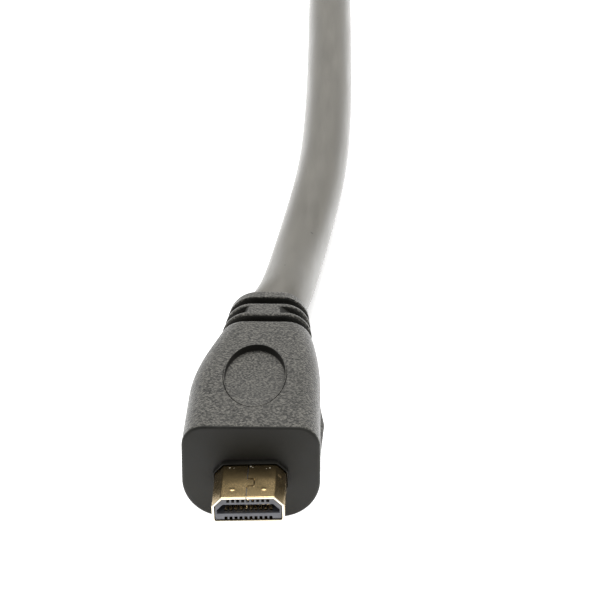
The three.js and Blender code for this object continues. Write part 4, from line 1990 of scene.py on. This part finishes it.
@dataclass
class SocketInsert:
    """Plastic insert of the socket with fifteen countersunk holes, in millimetres."""

    outline: SocketOutline
    height: float
    front: float = -5.65
    nose: float = -0.46
    collar: float = 1.2
    collar_start: float = 0.86
    collar_end: float = 6.36
    edge: float = 0.2
    rows: int = 3
    holes: int = 5
    pitch: float = 2.29
    row_pitch: float = 1.98
    hole_radius: float = 0.58
    hole_depth: float = 8.0
    hole_sides: int = 32
    sink: float = 0.24

    def places(self) -> list[tuple[float, float]]:
        """Works out the places of the holes, the middle row half a pitch to one side.

        Returns:
            The places.
        """
        places = []
        for row in range(self.rows):
            shift = self.pitch / 4 if row == 1 else -self.pitch / 4
            z = ((self.rows - 1) // 2 - row) * self.row_pitch
            for i in range(self.holes):
                places.append(((i - self.holes // 2) * self.pitch + shift, z))
        return places

    def hole_cutter(self, x: float, z: float) -> bpy.types.Mesh:
        """Cutter of one hole.

        Args:
            x: Its place across.
            z: Its height over the socket's axis.

        Returns:
            The cutter.
        """
        profile = [(-PAST, self.sink + PAST), (0.0, self.sink)]
        profile += [(self.sink, 0.0), (self.hole_depth, 0.0)]
        rings = []
        for y, grow in profile:
            radius = self.hole_radius + grow
            rings.append(circle(radius, x, z, self.front + y, self.hole_sides))
        return lofted(rings, housing_place(self.height))

    def build(self) -> bpy.types.Object:
        """Builds the insert.

        Returns:
            The piece.
        """
        e = self.edge
        profile = [(self.front, self.nose - e), (self.front + e * 0.3, self.nose - e * 0.3)]
        profile += [(self.front + e, self.nose), (self.collar_start, self.nose)]
        profile += [(self.collar_start, self.collar), (self.collar_end, self.collar)]
        rings = [upright(self.outline.loop(grow), y) for y, grow in profile]
        holes = joined([self.hole_cutter(x, z) for x, z in self.places()])
        mesh = carved(lofted(rings, housing_place(self.height)), [holes])
        material = SOCKET_BLUE.material()
        return new_piece("vga_insert", mesh, [material], ["vga_insulator"])


@dataclass
class SocketContacts:
    """The fifteen round contacts in the insert's holes, in millimetres."""

    insert: SocketInsert
    radius: float = 0.5
    bore: float = 0.34
    setback: float = 0.45
    length: float = 6.2
    edge: float = 0.05
    sides: int = 28

    def contact(self, number: int, x: float, z: float) -> bpy.types.Object:
        """One contact.

        Args:
            number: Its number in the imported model.
            x: Its place across.
            z: Its height over the socket's axis.

        Returns:
            The contact.
        """
        front = self.insert.front + self.setback
        back = front + self.length
        e = self.edge
        profile = [(front + e, self.radius), (back, self.radius), (back, self.bore)]
        profile += [(front + 2 * e, self.bore), (front + 0.5 * e, self.bore + 0.6 * e)]
        profile += [(front, self.bore + 1.6 * e), (front + 0.3 * e, self.radius - 0.3 * e)]
        rings = [circle(radius, x, z, y, self.sides) for y, radius in profile]
        mesh = lofted(rings, housing_place(self.insert.height), closed=True)
        node = f"vga_contact_{number}"
        return new_piece(f"{node}_skin", mesh, [CONTACT_GOLD.material()], [node])

    def build(self) -> list[bpy.types.Object]:
        """Returns all the contacts."""
        return [self.contact(i + 1, x, z) for i, (x, z) in enumerate(self.insert.places())]


@dataclass
class Jackscrew:
    """Hexagonal threaded post beside the socket, in millimetres."""

    side: Side
    height: float
    spacing: float = SCREW_SPACING
    flats: float = 4.75
    reach: float = 5.0
    seat: float = -0.05
    chamfer: float = 0.35
    chamfer_length: float = 0.42
    corner_round: float = 0.06
    bore: float = 1.2
    bore_depth: float = 4.4
    bore_mouth: float = 0.15
    drill_tip: float = 0.5
    drill_point: float = 0.05
    pitch: float = 0.635
    thread_depth: float = 0.22
    thread_start: float = 0.3
    thread_end: float = 0.1
    thread_steps: int = 56
    shank_radius: float = 1.4
    shank_end: float = 5.0
    shank_chamfer: float = 0.3
    back_edge: float = 0.08
    cone_steps: int = 8
    sides: int = 96

    def hexagon(self, angle: float) -> float:
        """Distance from the axis to the hexagon's edge.

        Args:
            angle: Angle round the axis.

        Returns:
            The distance.
        """
        flat = self.flats / 2
        off = (angle + math.pi / 6) % (math.pi / 3) - math.pi / 6
        return min(flat / math.cos(off), flat / math.cos(math.pi / 6) - self.corner_round)

    def ring(self, y: float, radius: Callable[[float], float]) -> Ring:
        """Ring whose distance from the axis depends on the angle.

        Args:
            y: Its plane.
            radius: Gives the distance at an angle.

        Returns:
            The ring.
        """
        ring = []
        middle = self.side.value * self.spacing / 2
        for i in range(self.sides):
            angle = 2 * math.pi * i / self.sides
            r = radius(angle)
            ring.append(Vector((middle + r * math.sin(angle), y, r * math.cos(angle))))
        return ring

    def thread(self, y: float, angle: float) -> float:
        """Distance from the axis to the thread in the bore.

        Args:
            y: Place along the bore.
            angle: Angle round it.

        Returns:
            The distance.
        """
        turn = (y / self.pitch + angle / (2 * math.pi)) % 1.0
        return self.bore + self.thread_depth * (1 - abs(2 * turn - 1))

    def rings(self) -> list[Ring]:
        """Builds the rings from the bottom of the bore over the head to the shank.

        Returns:
            The rings.
        """
        front = self.seat - self.reach
        bottom = front + self.bore_depth
        rings = [
            self.ring(bottom + self.drill_tip, lambda a: self.drill_point),
            self.ring(bottom, lambda a: self.bore),
        ]
        for i in range(self.thread_steps + 1):
            share = i / self.thread_steps
            y = mix(bottom - self.thread_end, front + self.thread_start, share)
            rings.append(self.ring(y, lambda a, y=y: self.thread(y, a)))
        mouth = self.bore + self.thread_depth + self.bore_mouth
        rings.append(self.ring(front, lambda a: mouth))
        corner = self.flats / 2 / math.cos(math.pi / 6)
        for i in range(self.cone_steps + 1):
            y = front + self.chamfer_length * i / self.cone_steps
            cone = corner - self.chamfer + self.chamfer * 1.3 * i / self.cone_steps
            rings.append(self.ring(y, lambda a, cone=cone: min(cone, self.hexagon(a))))
        edge = self.back_edge
        rings.append(self.ring(self.seat - edge, self.hexagon))
        rings.append(self.ring(self.seat, lambda a: self.hexagon(a) - edge))
        tip = self.shank_end - self.shank_chamfer
        for y in (self.seat, tip):
            rings.append(self.ring(y, lambda a: self.shank_radius))
        rings.append(self.ring(self.shank_end, lambda a: self.shank_radius - self.shank_chamfer))
        return rings

    def build(self) -> bpy.types.Object:
        """Builds the post.

        Returns:
            The piece.
        """
        mesh = lofted(self.rings(), housing_place(self.height))
        node = f"jackscrew_{self.side.name.lower()}"
        return new_piece(f"{node}_skin", mesh, [SCREW_NICKEL.material()], [node])


@dataclass
class SocketEnd:
    """The VGA end: housing, shell, insert, contacts and screws."""

    cable_radius: float = CABLE_RADIUS
    height: float = 15.5
    outline: SocketOutline = field(default_factory=SocketOutline)

    def moulding(self) -> SocketHousing:
        """Builds the housing's moulding.

        Returns:
            The moulding.
        """
        axis = self.height / 2
        return SocketHousing(
            name="vga_housing",
            place=housing_place(),
            width=34.01,
            height=self.height,
            length=37,
            top_radius=4.2,
            bottom_radius=4.2,
            face_round=0.8,
            end_round=0.4,
            side_draft=0.01,
            shoulder_start=21,
            shoulder_power=0.8,
            neck_width=12.6,
            neck_bottom=axis - 5.3,
            neck_top=axis + 5.3,
            neck_radius=4.2,
            relief_length=13.4,
            end_width=8.8,
            end_bottom=axis - 4.2,
            end_top=axis + 4.2,
            end_radius=3.8,
            bend=0,
            bend_start=21,
            bend_end=37,
            gap_pitch=2.5,
            gap_width=1.5,
            gap_depth=1.1,
            gap_side_depth=0.5,
            gap_count=4,
            side_bridge=1.6,
            top_bridge=2.8,
            top_bridge_shift=0,
            cable_radius=self.cable_radius,
            outline=self.outline,
        )

    def build(self) -> None:
        """Builds the socket's pieces."""
        axis = self.height / 2
        self.moulding().build()
        SocketShell(self.outline, axis).build()
        insert = SocketInsert(self.outline, axis)
        insert.build()
        SocketContacts(insert).build()
        for side in Side:
            Jackscrew(side, axis).build()


def dress(node: bpy.types.Object, material: bpy.types.Material) -> None:
    """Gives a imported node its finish.

    Args:
        node: The node's object.
        material: Its material.
    """
    node.data.materials.clear()
    node.data.materials.append(material)
    LOG.info("%s: dressed", node.name)


@dataclass(frozen=True)
class Studio:
    """Camera, floor with a painted pool of light, and soft light."""

    eye: tuple[float, float, float] = (4.813, -307.845, 113.887)
    aim: tuple[float, float, float] = (-0.02039, 0.8986, -0.4384)
    lens: float = 160.33
    sensor: float = 36.0
    floor_size: float = 4.0
    floor_drop: float = 0.0002
    dome: float = 0.42
    key_power: float = 15.0
    key_size: float = 0.9
    key_place: tuple[float, float, float] = (0.0, 0.25, 0.9)
    key_aim: tuple[float, float, float] = (0.0, -0.05, 0.0)
    floor_glow: float = 0.45
    # Painted light: the floor glows brighter in a pool round the plug, lighting it from below and
    # filling its contact shadows.
    painted_pool_glow: float = 0.75
    painted_pool_centre: tuple[float, float, float] = (-4.0, -114.0, 0.0)
    painted_pool_radius: float = 34.0

    def camera(self) -> None:
        """Sets up the camera of the photograph."""
        data = bpy.data.cameras.new("camera")
        data.lens = self.lens
        data.sensor_width = self.sensor
        data.sensor_fit = "HORIZONTAL"
        data.clip_start = 0.01
        data.clip_end = 20
        camera = bpy.data.objects.new("camera", data)
        camera.location = Vector(self.eye) * MM
        camera.rotation_euler = Vector(self.aim).to_track_quat("-Z", "Y").to_euler()
        bpy.context.scene.collection.objects.link(camera)
        bpy.context.scene.camera = camera

    def floor(self) -> None:
        """Lays the pale floor, which glows evenly and brighter in a painted pool of light round the
        plug.
        """
        half = self.floor_size / 2
        mesh = bpy.data.meshes.new("floor")
        corners = [(-half, -half, 0), (half, -half, 0), (half, half, 0), (-half, half, 0)]
        mesh.from_pydata(corners, [], [(0, 1, 2, 3)])
        sheet = NodeSheet("floor_white_painted_pool")
        tones = [(0.3, (0.84, 0.84, 0.84)), (0.7, (0.86, 0.86, 0.86))]
        sheet.feed("Base Color", sheet.ramp(sheet.noise(40), tones))
        sheet.give("Roughness", 0.9)
        sheet.give("Specular IOR Level", 0.1)
        sheet.give("Emission Color", (1, 1, 1, 1))
        # Painted light: the glow rises towards the pool's centre round the plug.
        away = sheet.distance(self.painted_pool_centre)
        brightest = self.floor_glow + self.painted_pool_glow
        glow = sheet.spread(away, brightest, self.floor_glow, 0.0, self.painted_pool_radius * MM)
        sheet.feed("Emission Strength", glow)
        mesh.materials.append(sheet.material)
        floor = bpy.data.objects.new("floor", mesh)
        floor.location.z = -self.floor_drop
        bpy.context.scene.collection.objects.link(floor)

    def light(self) -> None:
        """Sets the dome and the overhead lamp."""
        world = bpy.data.worlds.new("dome")
        world.use_nodes = True
        background = world.node_tree.nodes["Background"]
        background.inputs["Color"].default_value = (1, 1, 1, 1)
        background.inputs["Strength"].default_value = self.dome
        bpy.context.scene.world = world
        lamp = bpy.data.lights.new("overhead", "AREA")
        lamp.shape = "RECTANGLE"
        lamp.size = self.key_size
        lamp.size_y = self.key_size
        lamp.energy = self.key_power
        lamp_object = bpy.data.objects.new("overhead", lamp)
        lamp_object.location = self.key_place
        aim = Vector(self.key_aim) - Vector(self.key_place)
        lamp_object.rotation_euler = aim.to_track_quat("-Z", "Y").to_euler()
        bpy.context.scene.collection.objects.link(lamp_object)
        bpy.context.scene.view_settings.view_transform = "Standard"


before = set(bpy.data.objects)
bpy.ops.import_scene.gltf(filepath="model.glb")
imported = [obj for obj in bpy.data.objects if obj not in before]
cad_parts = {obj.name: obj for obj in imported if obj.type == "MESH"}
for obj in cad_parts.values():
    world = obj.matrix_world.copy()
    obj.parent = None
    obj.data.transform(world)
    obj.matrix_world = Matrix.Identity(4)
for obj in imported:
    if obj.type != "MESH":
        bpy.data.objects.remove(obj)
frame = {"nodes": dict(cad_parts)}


def main() -> None:
    """Builds the camera, the cord, both ends and the studio."""
    logging.basicConfig(level=logging.INFO, format="%(name)s %(message)s")
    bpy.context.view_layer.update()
    studio = Studio()
    studio.camera()
    Cable().build()
    PlugEnd().build(frame["nodes"])
    SocketEnd().build()
    studio.floor()
    studio.light()


if __name__ == "__main__":
    main()
